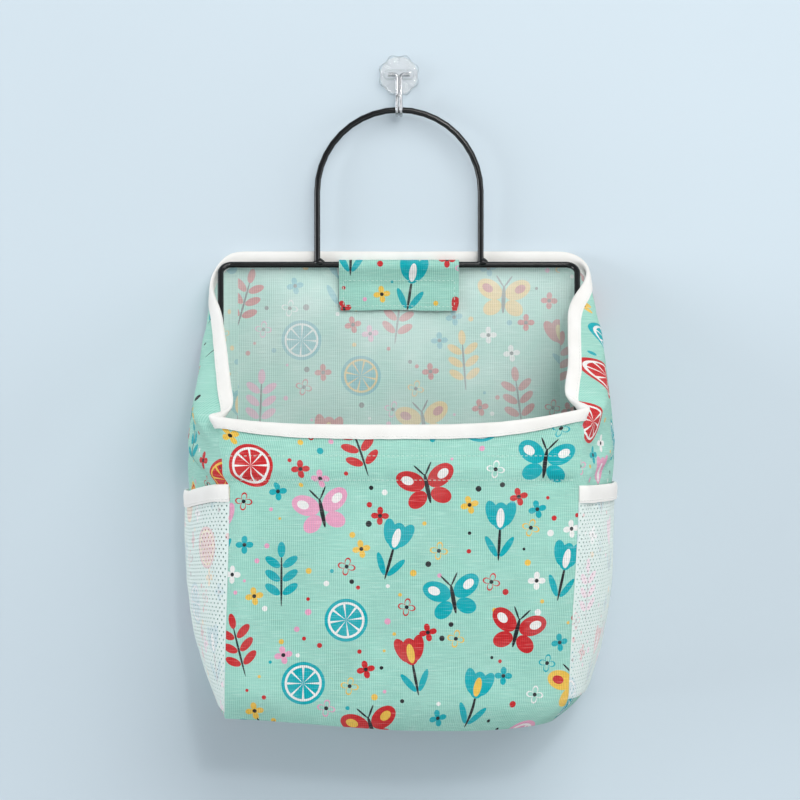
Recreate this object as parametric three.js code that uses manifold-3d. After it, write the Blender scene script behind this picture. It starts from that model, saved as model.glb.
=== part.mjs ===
// Wall-mounted fabric storage bag: a sewn bag on a welded wire frame, hung from an adhesive wall hook.
// Millimetres. +X is right, +Y goes into the wall, +Z is up. The origin is the centre of the pad's
// back face, so the wall is the plane Y = 0 and the bag stands off it towards -Y.
import * as THREE from "three";
import { mergeVertices } from "three/addons/utils/BufferGeometryUtils.js";
import Module from "manifold-3d";

const wasm = await Module();
wasm.setup();

// Clearances
const SEAM_GAP = 0.3; // between pieces that touch or are sewn together
const HANG_GAP = 0.55; // under the handle, so that it can rock on the hook

// Adhesive pad and wall plate
const PAD_RADIUS = 12.4;
const PAD_THICKNESS = 1.0;
const PLATE_RADIUS = 13.2; // mean radius of the scalloped outline
const SCALLOP_COUNT = 8;
const SCALLOP_DEPTH = 0.8;
const PLATE_THICKNESS = 2.6;
const PLATE_BEVEL = 0.8;
const BOSS_WALL = 1.5; // plastic round the hook's arms

// Steel hook: one wire bent double, with both ends turned out as arms
const HOOK_WIRE = 2.2;
const STRAND_GAP = 0.4;
const HOOK_ARM = 7.0; // from the middle to the end of each arm
const HOOK_PLAY = 0.35; // running clearance round the wire in the boss
const HOOK_DROP = 27.4; // from the arms down to the lowest point, wire centres
const HOOK_ROOM = 1.4; // spare room in front of and behind the handle wire
const HOOK_TIP_RISE = 12.6; // from the lowest point up to the tip, wire centres

// Wire frame
const WIRE = 4.0;
const HANDLE_WIDTH = 108.0; // between leg centres
const HANDLE_HEIGHT = 102.0; // from the back bar up to the top of the arch, wire centres
const LOOP_DEPTH = 103.0; // from the back bar out to the front bar
const LOOP_DROP = 134.0; // from the back bar down to the front bar
const LOOP_BEND = 7.0;
const BACK_OVERHANG = 11.5; // the back bar past the panel's width, each side
const FRONT_OVERHANG = 3.5; // the front bar past the panel's width, each side
const BEAD_WIDTH = 1.3;
const BEAD_HEIGHT = 2.4;
const BEAD_HOLLOW_SHARE = 0.45; // the bead's fillet curves in to this share of its width and height

// Cloth
const CLOTH = 1.2;
const WALL_CLEARANCE = 2.4; // between the wall and the back panel
const PANEL_WIDTH = 213.0; // front and back panels, seam to seam
const FRONT_DROP = 153.0; // from the front bar down to the bottom
const FRONT_BELLY = 4.0; // how far the front panel swells
const BACK_RISE = 9.0; // mouth above the back bar
const RIM_RISE = 29.0; // mouth above the front bar, at the middle of the rim
const RIM_LIFT = 11.0; // how much higher the rim's corners are than its middle
const BELLY_FLARE = 29.5; // gussets past the panel's width, at the widest level
const BASE_FLARE = 6.5; // gussets past the panel's width, at the bottom
const SIDE_EASE = 5.0; // between the frame's side wires and the gussets
const SEAM_EASE = 1.5; // between the front bar's ends and the front seams
const CORNER_SHARE = 0.6; // rounding of the back corners, as a share of the flare
const EDGE_LEAN = 8.0; // how far the gussets' free edges lean in over the mouth
const LEAN_HEIGHT = 18.0;

// Trim
const BINDING_HEIGHT = 8.0;
const BINDING_THICKNESS = 2.4;
const CASING = 0.8;
const CASING_HEIGHT = 20.0;
const CASING_BULGE = 12.0; // height of the tunnel round the front bar
const CASING_INSET = 16.0; // from the front seams to the casing's ends

// Mesh pockets
const MESH = 0.8;
const POCKET_BELOW_BAR = 10.0; // pocket mouths below the front bar
const POCKET_ABOVE_BASE = 8.0;
const POCKET_SLACK = 6.4; // how far the mesh hangs off the gusset at the pocket's mouth
const POCKET_START_SHARE = 0.2; // where the pocket starts along the gusset, from the back seam
const POCKET_END_SHARE = 0.985;
const POCKET_ROUND_POWER = 0.7; // below 1 the pocket's mouth is squarer than a half wave
const BAND_HEIGHT = 9.5;
const BAND_THICKNESS = 1.6;

// Tab that closes over the back bar
const TAB = 1.2;
const TAB_WIDTH = 79.0;
const TAB_LENGTH = 33.0; // from the top of the bar down to the free end
const TAB_EASE = 0.5; // loose fit of the tab round the bar
const TAPE = 0.8; // each half of the hook-and-loop fastener
const TAPE_WIDTH = 68.0;
const TAPE_HEIGHT = 15.0;

// Places that follow from the sizes above
const PLATE_BACK_Y = -PAD_THICKNESS - SEAM_GAP;
const PLATE_FACE_Y = PLATE_BACK_Y - PLATE_THICKNESS;
const ARM_Y = PLATE_FACE_Y - HOOK_PLAY - HOOK_WIRE / 2;
const STRAND_X = (HOOK_WIRE + STRAND_GAP) / 2;
const HOOK_BEND = WIRE / 2 + HOOK_ROOM + HOOK_WIRE / 2;
const HANDLE_Y = ARM_Y - HOOK_BEND;
const HANDLE_TOP_Z = -HOOK_DROP + HOOK_WIRE / 2 + HANG_GAP + WIRE / 2;
const BACK_Y = -WALL_CLEARANCE - CLOTH / 2;
const TAB_ROOT_Y = BACK_Y - BINDING_THICKNESS / 2 - SEAM_GAP - TAB / 2;
const TAB_RADIUS = WIRE / 2 + TAB_EASE + TAB / 2;
const BAR_Y = TAB_ROOT_Y - TAB_RADIUS;
const BAR_Z = HANDLE_TOP_Z - HANDLE_HEIGHT;
const FRONT_BAR_Y = BAR_Y - LOOP_DEPTH;
const FRONT_BAR_Z = BAR_Z - LOOP_DROP;
const FRONT_Y = FRONT_BAR_Y - WIRE / 2 - SEAM_GAP - CLOTH / 2;
const GUSSET_FRONT_Y = FRONT_Y + CLOTH + SEAM_GAP;
const BASE_Z = FRONT_BAR_Z - FRONT_DROP;
const WALL_BASE_Z = BASE_Z + CLOTH + SEAM_GAP;
const TRIM_STEP = BINDING_HEIGHT + SEAM_GAP;
const BACK_EDGE_Z = BAR_Z + BACK_RISE - TRIM_STEP;
const RIM_EDGE_Z = FRONT_BAR_Z + RIM_RISE - TRIM_STEP;
const CORNER_EDGE_Z = RIM_EDGE_Z + RIM_LIFT;
const PANEL_X = PANEL_WIDTH / 2;
const LOOP_BACK_X = PANEL_X + BACK_OVERHANG;
const LOOP_FRONT_X = PANEL_X + FRONT_OVERHANG;
const RIM_SEAM_X = LOOP_FRONT_X + WIRE / 2 + SEAM_EASE;
const SHOULDER_X = LOOP_BACK_X + WIRE / 2 + SIDE_EASE;
const POCKET_TOP_Z = FRONT_BAR_Z - POCKET_BELOW_BAR;
const POCKET_BASE_Z = BASE_Z + POCKET_ABOVE_BASE;

const ROUND_SIDES = 10; // sides of a wire's section
const ARC_STEP = Math.PI / 12;

// Shared helpers
const point = (x, y, z) => new THREE.Vector3(x, y, z);
const mix = THREE.MathUtils.lerp;
const ease = (value) => THREE.MathUtils.smoothstep(value, 0, 1);

function closedGeometry(vertices, triangles) {
  let volume = 0;
  for (const [a, b, c] of triangles) {
    volume += vertices[a].dot(vertices[b].clone().cross(vertices[c]));
  }
  const outward = volume > 0 ? triangles : triangles.map(([a, b, c]) => [a, c, b]);
  const geometry = new THREE.BufferGeometry();
  geometry.setFromPoints(vertices);
  geometry.setIndex(outward.flat());
  geometry.computeVertexNormals();
  return geometry;
}

// Joins a row of closed sections into a ring, or into a bar with flat ends.
function skin(sections, closed) {
  const sides = sections[0].length;
  const triangles = [];
  const joins = closed ? sections.length : sections.length - 1;
  for (let i = 0; i < joins; i++) {
    const here = i * sides;
    const next = ((i + 1) % sections.length) * sides;
    for (let k = 0; k < sides; k++) {
      const side = (k + 1) % sides;
      triangles.push([here + k, next + k, next + side], [here + k, next + side, here + side]);
    }
  }
  if (!closed) {
    const last = (sections.length - 1) * sides;
    for (let k = 1; k < sides - 1; k++) {
      triangles.push([0, k, k + 1], [last, last + k + 1, last + k]);
    }
  }
  return closedGeometry(sections.flat(), triangles);
}

// Round wire along a list of points, carried without twisting.
function wire(path, diameter, closed = false) {
  const count = path.length;
  const at = (i) => (closed ? path[(i + count) % count] : path[THREE.MathUtils.clamp(i, 0, count - 1)]);
  const tangent = (i) => at(i + 1).clone().sub(at(i - 1)).normalize();
  const first = tangent(0);
  let side = point(first.z, first.x, first.y).cross(first).normalize();
  const sections = path.map((centre, i) => {
    const along = tangent(i);
    side = side.sub(along.clone().multiplyScalar(side.dot(along))).normalize();
    const other = along.clone().cross(side);
    return Array.from({ length: ROUND_SIDES }, (_, k) => {
      const angle = (2 * Math.PI * k) / ROUND_SIDES;
      const across = side.clone().multiplyScalar(Math.cos(angle)).addScaledVector(other, Math.sin(angle));
      return centre.clone().addScaledVector(across, diameter / 2);
    });
  });
  return skin(sections, closed);
}

// Arc about a centre, from one direction to another at right angles to it or further round.
function arc(centre, from, to, radius, angle) {
  const steps = Math.ceil(angle / ARC_STEP);
  return Array.from({ length: steps + 1 }, (_, i) => {
    const turn = (angle * i) / steps;
    const place = centre.clone().addScaledVector(from, radius * Math.cos(turn));
    return place.addScaledVector(to, radius * Math.sin(turn));
  });
}

// Rounds the corner between two straight runs.
function bend(before, corner, after, radius) {
  const back = before.clone().sub(corner).normalize();
  const ahead = after.clone().sub(corner).normalize();
  const half = back.angleTo(ahead) / 2;
  const middle = back.clone().add(ahead).normalize();
  const centre = corner.clone().addScaledVector(middle, radius / Math.sin(half));
  const start = corner.clone().addScaledVector(back, radius / Math.tan(half)).sub(centre).normalize();
  const end = corner.clone().addScaledVector(ahead, radius / Math.tan(half)).sub(centre).normalize();
  const square = end.clone().addScaledVector(start, -end.dot(start)).normalize();
  return arc(centre, start, square, radius, start.angleTo(end));
}

// Outward direction of a surface given as surface(u, v).
function normalAt(surface, u, v) {
  const step = 1e-3;
  const across = surface(u + step, v).sub(surface(u - step, v));
  const up = surface(u, v + step).sub(surface(u, v - step));
  return across.cross(up).normalize();
}

// Sheet of one thickness about a middle surface.
function sheet(surface, thickness, columns, rows) {
  const layers = [1, -1].map((side) => {
    const layer = [];
    for (let j = 0; j <= rows; j++) {
      for (let i = 0; i <= columns; i++) {
        const out = normalAt(surface, i / columns, j / rows);
        layer.push(surface(i / columns, j / rows).addScaledVector(out, (side * thickness) / 2));
      }
    }
    return layer;
  });
  const size = layers[0].length;
  const at = (i, j) => j * (columns + 1) + i;
  const triangles = [];
  for (let j = 0; j < rows; j++) {
    for (let i = 0; i < columns; i++) {
      const [a, b, c, d] = [at(i, j), at(i + 1, j), at(i + 1, j + 1), at(i, j + 1)];
      triangles.push([a, b, c], [a, c, d], [size + a, size + c, size + b], [size + a, size + d, size + c]);
    }
  }
  const rim = [];
  for (let i = 0; i < columns; i++) rim.push(at(i, 0));
  for (let j = 0; j < rows; j++) rim.push(at(columns, j));
  for (let i = columns; i > 0; i--) rim.push(at(i, rows));
  for (let j = rows; j > 0; j--) rim.push(at(0, j));
  rim.forEach((here, k) => {
    const next = rim[(k + 1) % rim.length];
    triangles.push([here, size + here, size + next], [here, size + next, next]);
  });
  return closedGeometry(layers.flat(), triangles);
}

// Flat outline in X and Z, given thickness along Y from backY towards the room.
function plateFrom(outline, backY, thickness, bevel = 0) {
  const settings = { depth: thickness - 2 * bevel, bevelEnabled: bevel > 0, curveSegments: 12 };
  Object.assign(settings, { bevelThickness: bevel, bevelSize: bevel, bevelOffset: -bevel, bevelSegments: 2 });
  const geometry = new THREE.ExtrudeGeometry(outline, settings);
  return geometry.rotateX(Math.PI / 2).translate(0, backY - bevel, 0);
}

function toSolid(geometry) {
  const bare = geometry.clone();
  bare.deleteAttribute("normal");
  bare.deleteAttribute("uv");
  const merged = mergeVertices(bare, 1e-4);
  const vertProperties = new Float32Array(merged.attributes.position.array);
  const triVerts = new Uint32Array(merged.index.array);
  return new wasm.Manifold(new wasm.Mesh({ numProp: 3, vertProperties, triVerts }));
}

function fromSolid(solid) {
  const mesh = solid.getMesh();
  const geometry = new THREE.BufferGeometry();
  geometry.setAttribute("position", new THREE.BufferAttribute(new Float32Array(mesh.vertProperties), 3));
  geometry.setIndex(new THREE.BufferAttribute(new Uint32Array(mesh.triVerts), 1));
  geometry.computeVertexNormals();
  return geometry;
}

const mirrored = (surface) => (u, v) => surface(1 - u, v).multiply(point(-1, 1, 1));

// Adhesive pad and scalloped wall plate
function scallopedOutline(radius) {
  const steps = SCALLOP_COUNT * 8;
  const ring = Array.from({ length: steps }, (_, i) => {
    const angle = (2 * Math.PI * i) / steps;
    const reach = radius + SCALLOP_DEPTH * Math.cos(SCALLOP_COUNT * angle);
    return new THREE.Vector2(reach * Math.cos(angle), reach * Math.sin(angle));
  });
  return new THREE.Shape(ring);
}

function stadium(halfLength, radius) {
  const outline = new THREE.Shape();
  outline.absarc(halfLength, 0, radius, -Math.PI / 2, Math.PI / 2);
  outline.absarc(-halfLength, 0, radius, Math.PI / 2, (3 * Math.PI) / 2);
  return outline;
}

function adhesivePad() {
  const disc = new THREE.CylinderGeometry(PAD_RADIUS, PAD_RADIUS, PAD_THICKNESS, 48);
  return disc.translate(0, -PAD_THICKNESS / 2, 0);
}

// The boss holds the hook's arms in a groove. A slot below lets the strands out and swing forwards.
function wallPlate() {
  const grooveRadius = HOOK_WIRE / 2 + HOOK_PLAY;
  const bossRadius = grooveRadius + BOSS_WALL;
  const bossRise = 2 * grooveRadius + BOSS_WALL;
  const slotHalf = STRAND_X + grooveRadius;
  const base = toSolid(plateFrom(scallopedOutline(PLATE_RADIUS), PLATE_BACK_Y, PLATE_THICKNESS, PLATE_BEVEL));
  const bossBackY = PLATE_FACE_Y + PLATE_THICKNESS / 2;
  const boss = toSolid(plateFrom(stadium(HOOK_ARM, bossRadius), bossBackY, bossRise + PLATE_THICKNESS / 2));
  const grooveLength = 2 * (HOOK_ARM + HOOK_PLAY);
  const groove = new THREE.CylinderGeometry(grooveRadius, grooveRadius, grooveLength, 24);
  groove.rotateZ(Math.PI / 2).translate(0, ARM_Y, 0);
  const slotTopZ = grooveRadius;
  const slotHeight = slotTopZ + bossRadius + BOSS_WALL;
  const slotBackY = ARM_Y + grooveRadius - HOOK_PLAY / 2;
  const slotDepth = bossRise + BOSS_WALL;
  const slot = new THREE.BoxGeometry(2 * slotHalf, slotDepth, slotHeight);
  slot.translate(0, slotBackY - slotDepth / 2, slotTopZ - slotHeight / 2);
  return fromSolid(base.add(boss).subtract(toSolid(groove)).subtract(toSolid(slot)));
}

function steelHook() {
  const [right, down] = [point(1, 0, 0), point(0, 0, -1)];
  const elbow = HOOK_WIRE / 2 + STRAND_GAP / 2;
  const bowlZ = -HOOK_DROP + HOOK_BEND;
  const tipZ = -HOOK_DROP + HOOK_TIP_RISE - STRAND_X;
  const half = [point(HOOK_ARM, ARM_Y, 0)];
  const elbowCentre = point(STRAND_X + elbow, ARM_Y, -elbow);
  half.push(...arc(elbowCentre, point(0, 0, 1), point(-1, 0, 0), elbow, Math.PI / 2));
  half.push(...arc(point(STRAND_X, HANDLE_Y, bowlZ), point(0, 1, 0), down, HOOK_BEND, Math.PI));
  const tip = point(0, HANDLE_Y - HOOK_BEND, tipZ);
  const turn = arc(tip, right, point(0, 0, 1), STRAND_X, Math.PI);
  const otherHalf = half.map((place) => place.clone().multiply(point(-1, 1, 1))).reverse();
  return wire([...half, ...turn, ...otherHalf], HOOK_WIRE);
}

// Wire frame: a closed loop and an arched handle that is welded to its back bar
function frameLoop() {
  const corners = [
    point(-LOOP_BACK_X, BAR_Y, BAR_Z),
    point(LOOP_BACK_X, BAR_Y, BAR_Z),
    point(LOOP_FRONT_X, FRONT_BAR_Y, FRONT_BAR_Z),
    point(-LOOP_FRONT_X, FRONT_BAR_Y, FRONT_BAR_Z),
  ];
  const neighbour = (i) => corners[(i + corners.length) % corners.length];
  const path = corners.flatMap((corner, i) => bend(neighbour(i - 1), corner, neighbour(i + 1), LOOP_BEND));
  return wire(path, WIRE, true);
}

function handleArch() {
  const radius = HANDLE_WIDTH / 2;
  const footZ = BAR_Z + WIRE / 2 + SEAM_GAP;
  const lean = (z) => mix(BAR_Y, HANDLE_Y, (z - BAR_Z) / HANDLE_HEIGHT);
  const crown = arc(point(0, 0, HANDLE_TOP_Z - radius), point(1, 0, 0), point(0, 0, 1), radius, Math.PI);
  const path = [point(radius, 0, footZ), ...crown, point(-radius, 0, footZ)];
  return wire(path.map((place) => place.setY(lean(place.z))), WIRE);
}

function weldBead(side) {
  const inner = WIRE / 2 + SEAM_GAP;
  const profile = [
    new THREE.Vector2(inner, 0),
    new THREE.Vector2(inner + BEAD_WIDTH, 0),
    new THREE.Vector2(inner + BEAD_WIDTH * BEAD_HOLLOW_SHARE, BEAD_HEIGHT * BEAD_HOLLOW_SHARE),
    new THREE.Vector2(inner, BEAD_HEIGHT),
    new THREE.Vector2(inner, 0),
  ];
  const ring = new THREE.LatheGeometry(profile, 16).rotateX(Math.PI / 2);
  return ring.translate((side * HANDLE_WIDTH) / 2, BAR_Y, BAR_Z + WIRE / 2 + SEAM_GAP);
}

// Sewn bag. Each level of a gusset runs along the wall, round the back corner and forwards to the front seam.
function sideX(z) {
  const bellyX = PANEL_X + BELLY_FLARE;
  if (z > FRONT_BAR_Z) return mix(SHOULDER_X, bellyX, ease((BAR_Z - z) / LOOP_DROP));
  const fall = (FRONT_BAR_Z - z) / FRONT_DROP;
  return mix(bellyX, PANEL_X + BASE_FLARE, fall ** 3);
}

function frontSeamX(z) {
  const taper = ease((FRONT_BAR_Z - WIRE - z) / (FRONT_DROP / 3));
  return mix(RIM_SEAM_X, PANEL_X, taper);
}

const WALL_SHARE = 0.15; // share of the gusset's width that lies along the wall
const CORNER_END_SHARE = 0.35; // where the rounded back corner ends
const SIDE_BOW_SHARE = 0.6; // how far forwards the side stays full before it turns in to the front seam

// Point of a gusset's level: u runs from the back seam to the front seam.
function gussetLevel(u, z) {
  const outer = sideX(z);
  const radius = CORNER_SHARE * (outer - PANEL_X);
  const startX = PANEL_X + SEAM_GAP;
  if (u < WALL_SHARE) return point(mix(startX, outer - radius, u / WALL_SHARE), BACK_Y, z);
  if (u < CORNER_END_SHARE) {
    const turn = (Math.PI / 2) * ((u - WALL_SHARE) / (CORNER_END_SHARE - WALL_SHARE));
    return point(outer - radius * (1 - Math.sin(turn)), BACK_Y - radius * (1 - Math.cos(turn)), z);
  }
  const t = (u - CORNER_END_SHARE) / (1 - CORNER_END_SHARE);
  const sideY = BACK_Y - radius;
  const bowY = mix(sideY, GUSSET_FRONT_Y, SIDE_BOW_SHARE);
  const y = (1 - t) ** 2 * sideY + 2 * t * (1 - t) * bowY + t ** 2 * GUSSET_FRONT_Y;
  return point(mix(outer, frontSeamX(z), t ** 2), y, z);
}

// The gussets' free edges slope down from the back to the front corners of the rim.
function gussetEdgeZ(u) {
  const depth = (BACK_Y - gussetLevel(u, BAR_Z).y) / (BACK_Y - GUSSET_FRONT_Y);
  return mix(BACK_EDGE_Z, CORNER_EDGE_Z, depth);
}

function gusset(u, v) {
  const edgeZ = gussetEdgeZ(u);
  const z = mix(WALL_BASE_Z, edgeZ, v);
  const near = THREE.MathUtils.clamp((z - edgeZ + LEAN_HEIGHT) / LEAN_HEIGHT, 0, 1.2);
  const along = THREE.MathUtils.clamp((u - CORNER_END_SHARE) / (1 - CORNER_END_SHARE), 0, 1);
  const place = gussetLevel(u, z);
  place.x -= EDGE_LEAN * near ** 2 * Math.sin(Math.PI * along);
  return place;
}

function frontPanel(u, v) {
  const across = 2 * u - 1;
  const z = mix(WALL_BASE_Z, RIM_EDGE_Z + RIM_LIFT * across ** 2, v);
  const fall = THREE.MathUtils.clamp((FRONT_BAR_Z - WIRE - z) / FRONT_DROP, 0, 1);
  const swell = FRONT_BELLY * Math.sin(Math.PI * fall) * (1 - across ** 4);
  return point(across * frontSeamX(z), FRONT_Y - swell, z);
}

function backPanel(u, v) {
  return point(mix(PANEL_X, -PANEL_X, u), BACK_Y, mix(WALL_BASE_Z, BACK_EDGE_Z, v));
}

function bottomPanel() {
  const columns = 16;
  const half = [];
  for (let i = 0; i <= columns; i++) {
    half.push(gussetLevel(i / columns, WALL_BASE_Z));
  }
  half.push(point(frontSeamX(WALL_BASE_Z), FRONT_Y, WALL_BASE_Z));
  const ring = [...half, ...half.map((place) => place.clone().multiply(point(-1, 1, 1))).reverse()];
  const outline = new THREE.Shape(ring.map((place) => new THREE.Vector2(place.x, place.y)));
  const geometry = new THREE.ExtrudeGeometry(outline, { depth: CLOTH, bevelEnabled: false });
  return geometry.translate(0, 0, BASE_Z);
}

const EDGE_STEP = 0.02; // share of a sheet's height that gives the direction of its edge

// Strip that carries a sheet on past its upper edge.
function trimSection(surface, u, height, thickness) {
  const edge = surface(u, 1);
  const up = edge.clone().sub(surface(u, 1 - EDGE_STEP)).normalize();
  const out = normalAt(surface, u, 1).multiplyScalar(thickness / 2);
  const low = edge.clone().addScaledVector(up, SEAM_GAP);
  const high = edge.clone().addScaledVector(up, SEAM_GAP + height);
  return [low.clone().add(out), high.clone().add(out), high.clone().sub(out), low.clone().sub(out)];
}

const midway = (one, other) => one.map((place, k) => place.clone().lerp(other[k], 0.5));

// One tape runs all round the mouth: along the rim, over both gussets and along the back.
function mouthBinding() {
  const section = (surface, u) => trimSection(surface, u, BINDING_HEIGHT, BINDING_THICKNESS);
  const rightGusset = (u, v) => gusset(1 - u, v);
  const leftGusset = mirrored(rightGusset);
  const edges = [
    [frontPanel, 14],
    [rightGusset, 16],
    [backPanel, 8],
    [leftGusset, 16],
  ];
  const ring = [];
  edges.forEach(([surface, count], i) => {
    const [next] = edges[(i + 1) % edges.length];
    for (let k = 1; k < count; k++) ring.push(section(surface, k / count));
    ring.push(midway(section(surface, 1), section(next, 0)));
  });
  return skin(ring, true);
}

// Casing sewn inside the front panel, with a tunnel for the front bar
function barCasing(u, v) {
  const flatY = FRONT_Y + CLOTH / 2 + SEAM_GAP + CASING / 2;
  const tunnelY = FRONT_BAR_Y + WIRE / 2 + SEAM_GAP + CASING / 2 + SEAM_GAP;
  const away = mix(-CASING_HEIGHT / 2, CASING_HEIGHT / 2, v);
  const bulge = Math.abs(away) < CASING_BULGE / 2 ? (1 + Math.cos((2 * Math.PI * away) / CASING_BULGE)) / 2 : 0;
  const reach = RIM_SEAM_X - CASING_INSET;
  return point(mix(-reach, reach, u), mix(flatY, tunnelY, bulge), FRONT_BAR_Z + away);
}

// Mesh pocket that hangs a little away from the gusset at its mouth
function pocketAt(u, z, thickness) {
  const along = mix(POCKET_START_SHARE, POCKET_END_SHARE, u);
  const level = (i) => gussetLevel(i, z);
  const step = 1e-3;
  const run = level(along + step).sub(level(along - step)).normalize();
  const out = point(-run.y, run.x, 0);
  const rise = Math.sin(((Math.PI / 2) * (z - POCKET_BASE_Z)) / (POCKET_TOP_Z - POCKET_BASE_Z));
  const slack = POCKET_SLACK * Math.sin(Math.PI * u) ** POCKET_ROUND_POWER * rise;
  return level(along).addScaledVector(out, CLOTH / 2 + SEAM_GAP + thickness / 2 + slack);
}

function meshPocket(u, v) {
  const topZ = POCKET_TOP_Z - BAND_HEIGHT - SEAM_GAP;
  return pocketAt(THREE.MathUtils.clamp(u, 0, 1), mix(POCKET_BASE_Z, topZ, v), MESH);
}

function pocketBand(u, v) {
  const lowZ = POCKET_TOP_Z - BAND_HEIGHT;
  return pocketAt(THREE.MathUtils.clamp(u, 0, 1), mix(lowZ, POCKET_TOP_Z, v), BAND_THICKNESS);
}

// Tab: from the mouth binding forwards over the back bar, down its front and back to the fastener
const TAPE_Y = BACK_Y - CLOTH / 2 - SEAM_GAP - TAPE / 2;
const HOOK_TAPE_Y = TAPE_Y - TAPE - SEAM_GAP;
const TAB_FLAT_Y = HOOK_TAPE_Y - TAPE / 2 - SEAM_GAP - TAB / 2;
const TAB_END_Z = BAR_Z + TAB_RADIUS - TAB_LENGTH;
const TAPE_TOP_Z = TAB_END_Z + TAPE_HEIGHT;

function barTab() {
  const over = point(0, BAR_Y, BAR_Z);
  const front = arc(over, point(0, 0, 1), point(0, -1, 0), TAB_RADIUS, Math.PI / 2);
  const line = [
    point(0, TAB_ROOT_Y, BAR_Z + TAB_RADIUS),
    ...front,
    point(0, BAR_Y - TAB_RADIUS, BAR_Z - WIRE / 2),
    point(0, TAB_FLAT_Y, TAPE_TOP_Z + TAB),
    point(0, TAB_FLAT_Y, TAB_END_Z),
  ];
  const sections = line.map((place, i) => {
    const before = line[Math.max(i - 1, 0)];
    const after = line[Math.min(i + 1, line.length - 1)];
    const along = after.clone().sub(before).normalize();
    const out = point(0, along.z, -along.y).multiplyScalar(TAB / 2);
    const corner = (side, face) => place.clone().addScaledVector(out, face).setX((side * TAB_WIDTH) / 2);
    return [corner(-1, 1), corner(1, 1), corner(1, -1), corner(-1, -1)];
  });
  return skin(sections, false);
}

function tapeAt(y) {
  const tape = new THREE.BoxGeometry(TAPE_WIDTH, TAPE, TAPE_HEIGHT);
  return tape.translate(0, y, TAPE_TOP_Z - TAPE_HEIGHT / 2);
}

// Finishes
function finish(color, roughness, metalness = 0) {
  return new THREE.MeshStandardMaterial({ color, roughness, metalness });
}

const clearPlastic = finish("#e6eef0", 0.12);
const adhesiveFoam = finish("#d9dcd8", 0.8);
const polishedSteel = finish("#c9ccce", 0.2, 1);
const blackEnamel = finish("#141416", 0.3);
const printedCotton = finish("#a6dcc8", 0.9);
const whiteTape = finish("#f3f0ea", 0.9);
const whiteMesh = finish("#eef1ef", 0.85);
const fastenerTape = finish("#e9e7e0", 0.95);

const bag = new THREE.Group();

function add(name, geometry, material) {
  const piece = new THREE.Mesh(geometry, material);
  piece.name = name;
  bag.add(piece);
}

add("adhesive_pad", adhesivePad(), adhesiveFoam);
add("wall_plate", wallPlate(), clearPlastic);
add("steel_hook", steelHook(), polishedSteel);
add("frame_loop", frameLoop(), blackEnamel);
add("handle_arch", handleArch(), blackEnamel);
add("weld_bead_left", weldBead(-1), blackEnamel);
add("weld_bead_right", weldBead(1), blackEnamel);
add("front_panel", sheet(frontPanel, CLOTH, 14, 12), printedCotton);
add("back_panel", sheet(backPanel, CLOTH, 6, 4), printedCotton);
add("left_gusset", sheet(mirrored(gusset), CLOTH, 16, 14), printedCotton);
add("right_gusset", sheet(gusset, CLOTH, 16, 14), printedCotton);
add("bottom_panel", bottomPanel(), printedCotton);
add("bar_casing", sheet(barCasing, CASING, 6, 20), printedCotton);
add("mouth_binding", mouthBinding(), whiteTape);
add("mesh_pocket_left", sheet(mirrored(meshPocket), MESH, 14, 10), whiteMesh);
add("mesh_pocket_right", sheet(meshPocket, MESH, 14, 10), whiteMesh);
add("pocket_band_left", sheet(mirrored(pocketBand), BAND_THICKNESS, 14, 2), whiteTape);
add("pocket_band_right", sheet(pocketBand, BAND_THICKNESS, 14, 2), whiteTape);
add("bar_tab", barTab(), printedCotton);
add("hook_tape", tapeAt(HOOK_TAPE_Y), fastenerTape);
add("loop_tape", tapeAt(TAPE_Y), fastenerTape);

export default bag;
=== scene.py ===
"""Looks of a wall-mounted fabric storage bag: sewn cotton on a black wire frame, hung from a clear hook.

Metres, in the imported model's frame: +X right, +Y into the wall, +Z up, the wall at Y = 0.
"""

import math

import bpy
from mathutils import Matrix, Vector, noise


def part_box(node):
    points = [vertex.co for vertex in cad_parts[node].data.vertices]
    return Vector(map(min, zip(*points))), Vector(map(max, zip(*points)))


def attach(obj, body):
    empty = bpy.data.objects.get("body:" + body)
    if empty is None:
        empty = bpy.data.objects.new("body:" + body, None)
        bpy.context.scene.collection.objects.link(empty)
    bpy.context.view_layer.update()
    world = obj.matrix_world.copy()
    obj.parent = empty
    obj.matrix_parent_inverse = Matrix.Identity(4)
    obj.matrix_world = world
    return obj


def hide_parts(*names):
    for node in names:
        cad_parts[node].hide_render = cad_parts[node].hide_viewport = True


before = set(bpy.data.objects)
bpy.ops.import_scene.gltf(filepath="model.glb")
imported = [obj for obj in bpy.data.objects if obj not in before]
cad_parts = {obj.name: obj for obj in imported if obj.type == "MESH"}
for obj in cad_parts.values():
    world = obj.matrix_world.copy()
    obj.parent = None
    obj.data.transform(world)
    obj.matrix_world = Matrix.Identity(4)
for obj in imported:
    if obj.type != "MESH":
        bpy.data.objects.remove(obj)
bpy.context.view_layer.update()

MM = 0.001
UP, DOWN = Vector((0, 0, 1)), Vector((0, 0, -1))
LEFT, RIGHT = Vector((-1, 0, 0)), Vector((1, 0, 0))
TO_WALL, TO_ROOM = Vector((0, 1, 0)), Vector((0, -1, 0))
FACING_ROOM = (math.pi / 2, 0, 0)
SIDES = ((1, "right"), (-1, "left"))

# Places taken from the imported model
WIRE_RADIUS = 2.0 * MM
CLOTH = 0.6 * MM
loop_low, loop_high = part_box("frame_loop")
back_low, back_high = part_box("back_panel")
handle_low, handle_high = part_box("handle_arch")
hook_low, hook_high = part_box("steel_hook")
plate_low, plate_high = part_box("wall_plate")
binding_low, binding_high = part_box("mouth_binding")
tab_low, tab_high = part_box("bar_tab")
front_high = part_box("front_panel")[1]
base_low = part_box("bottom_panel")[0]
band_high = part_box("pocket_band_right")[1]

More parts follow.
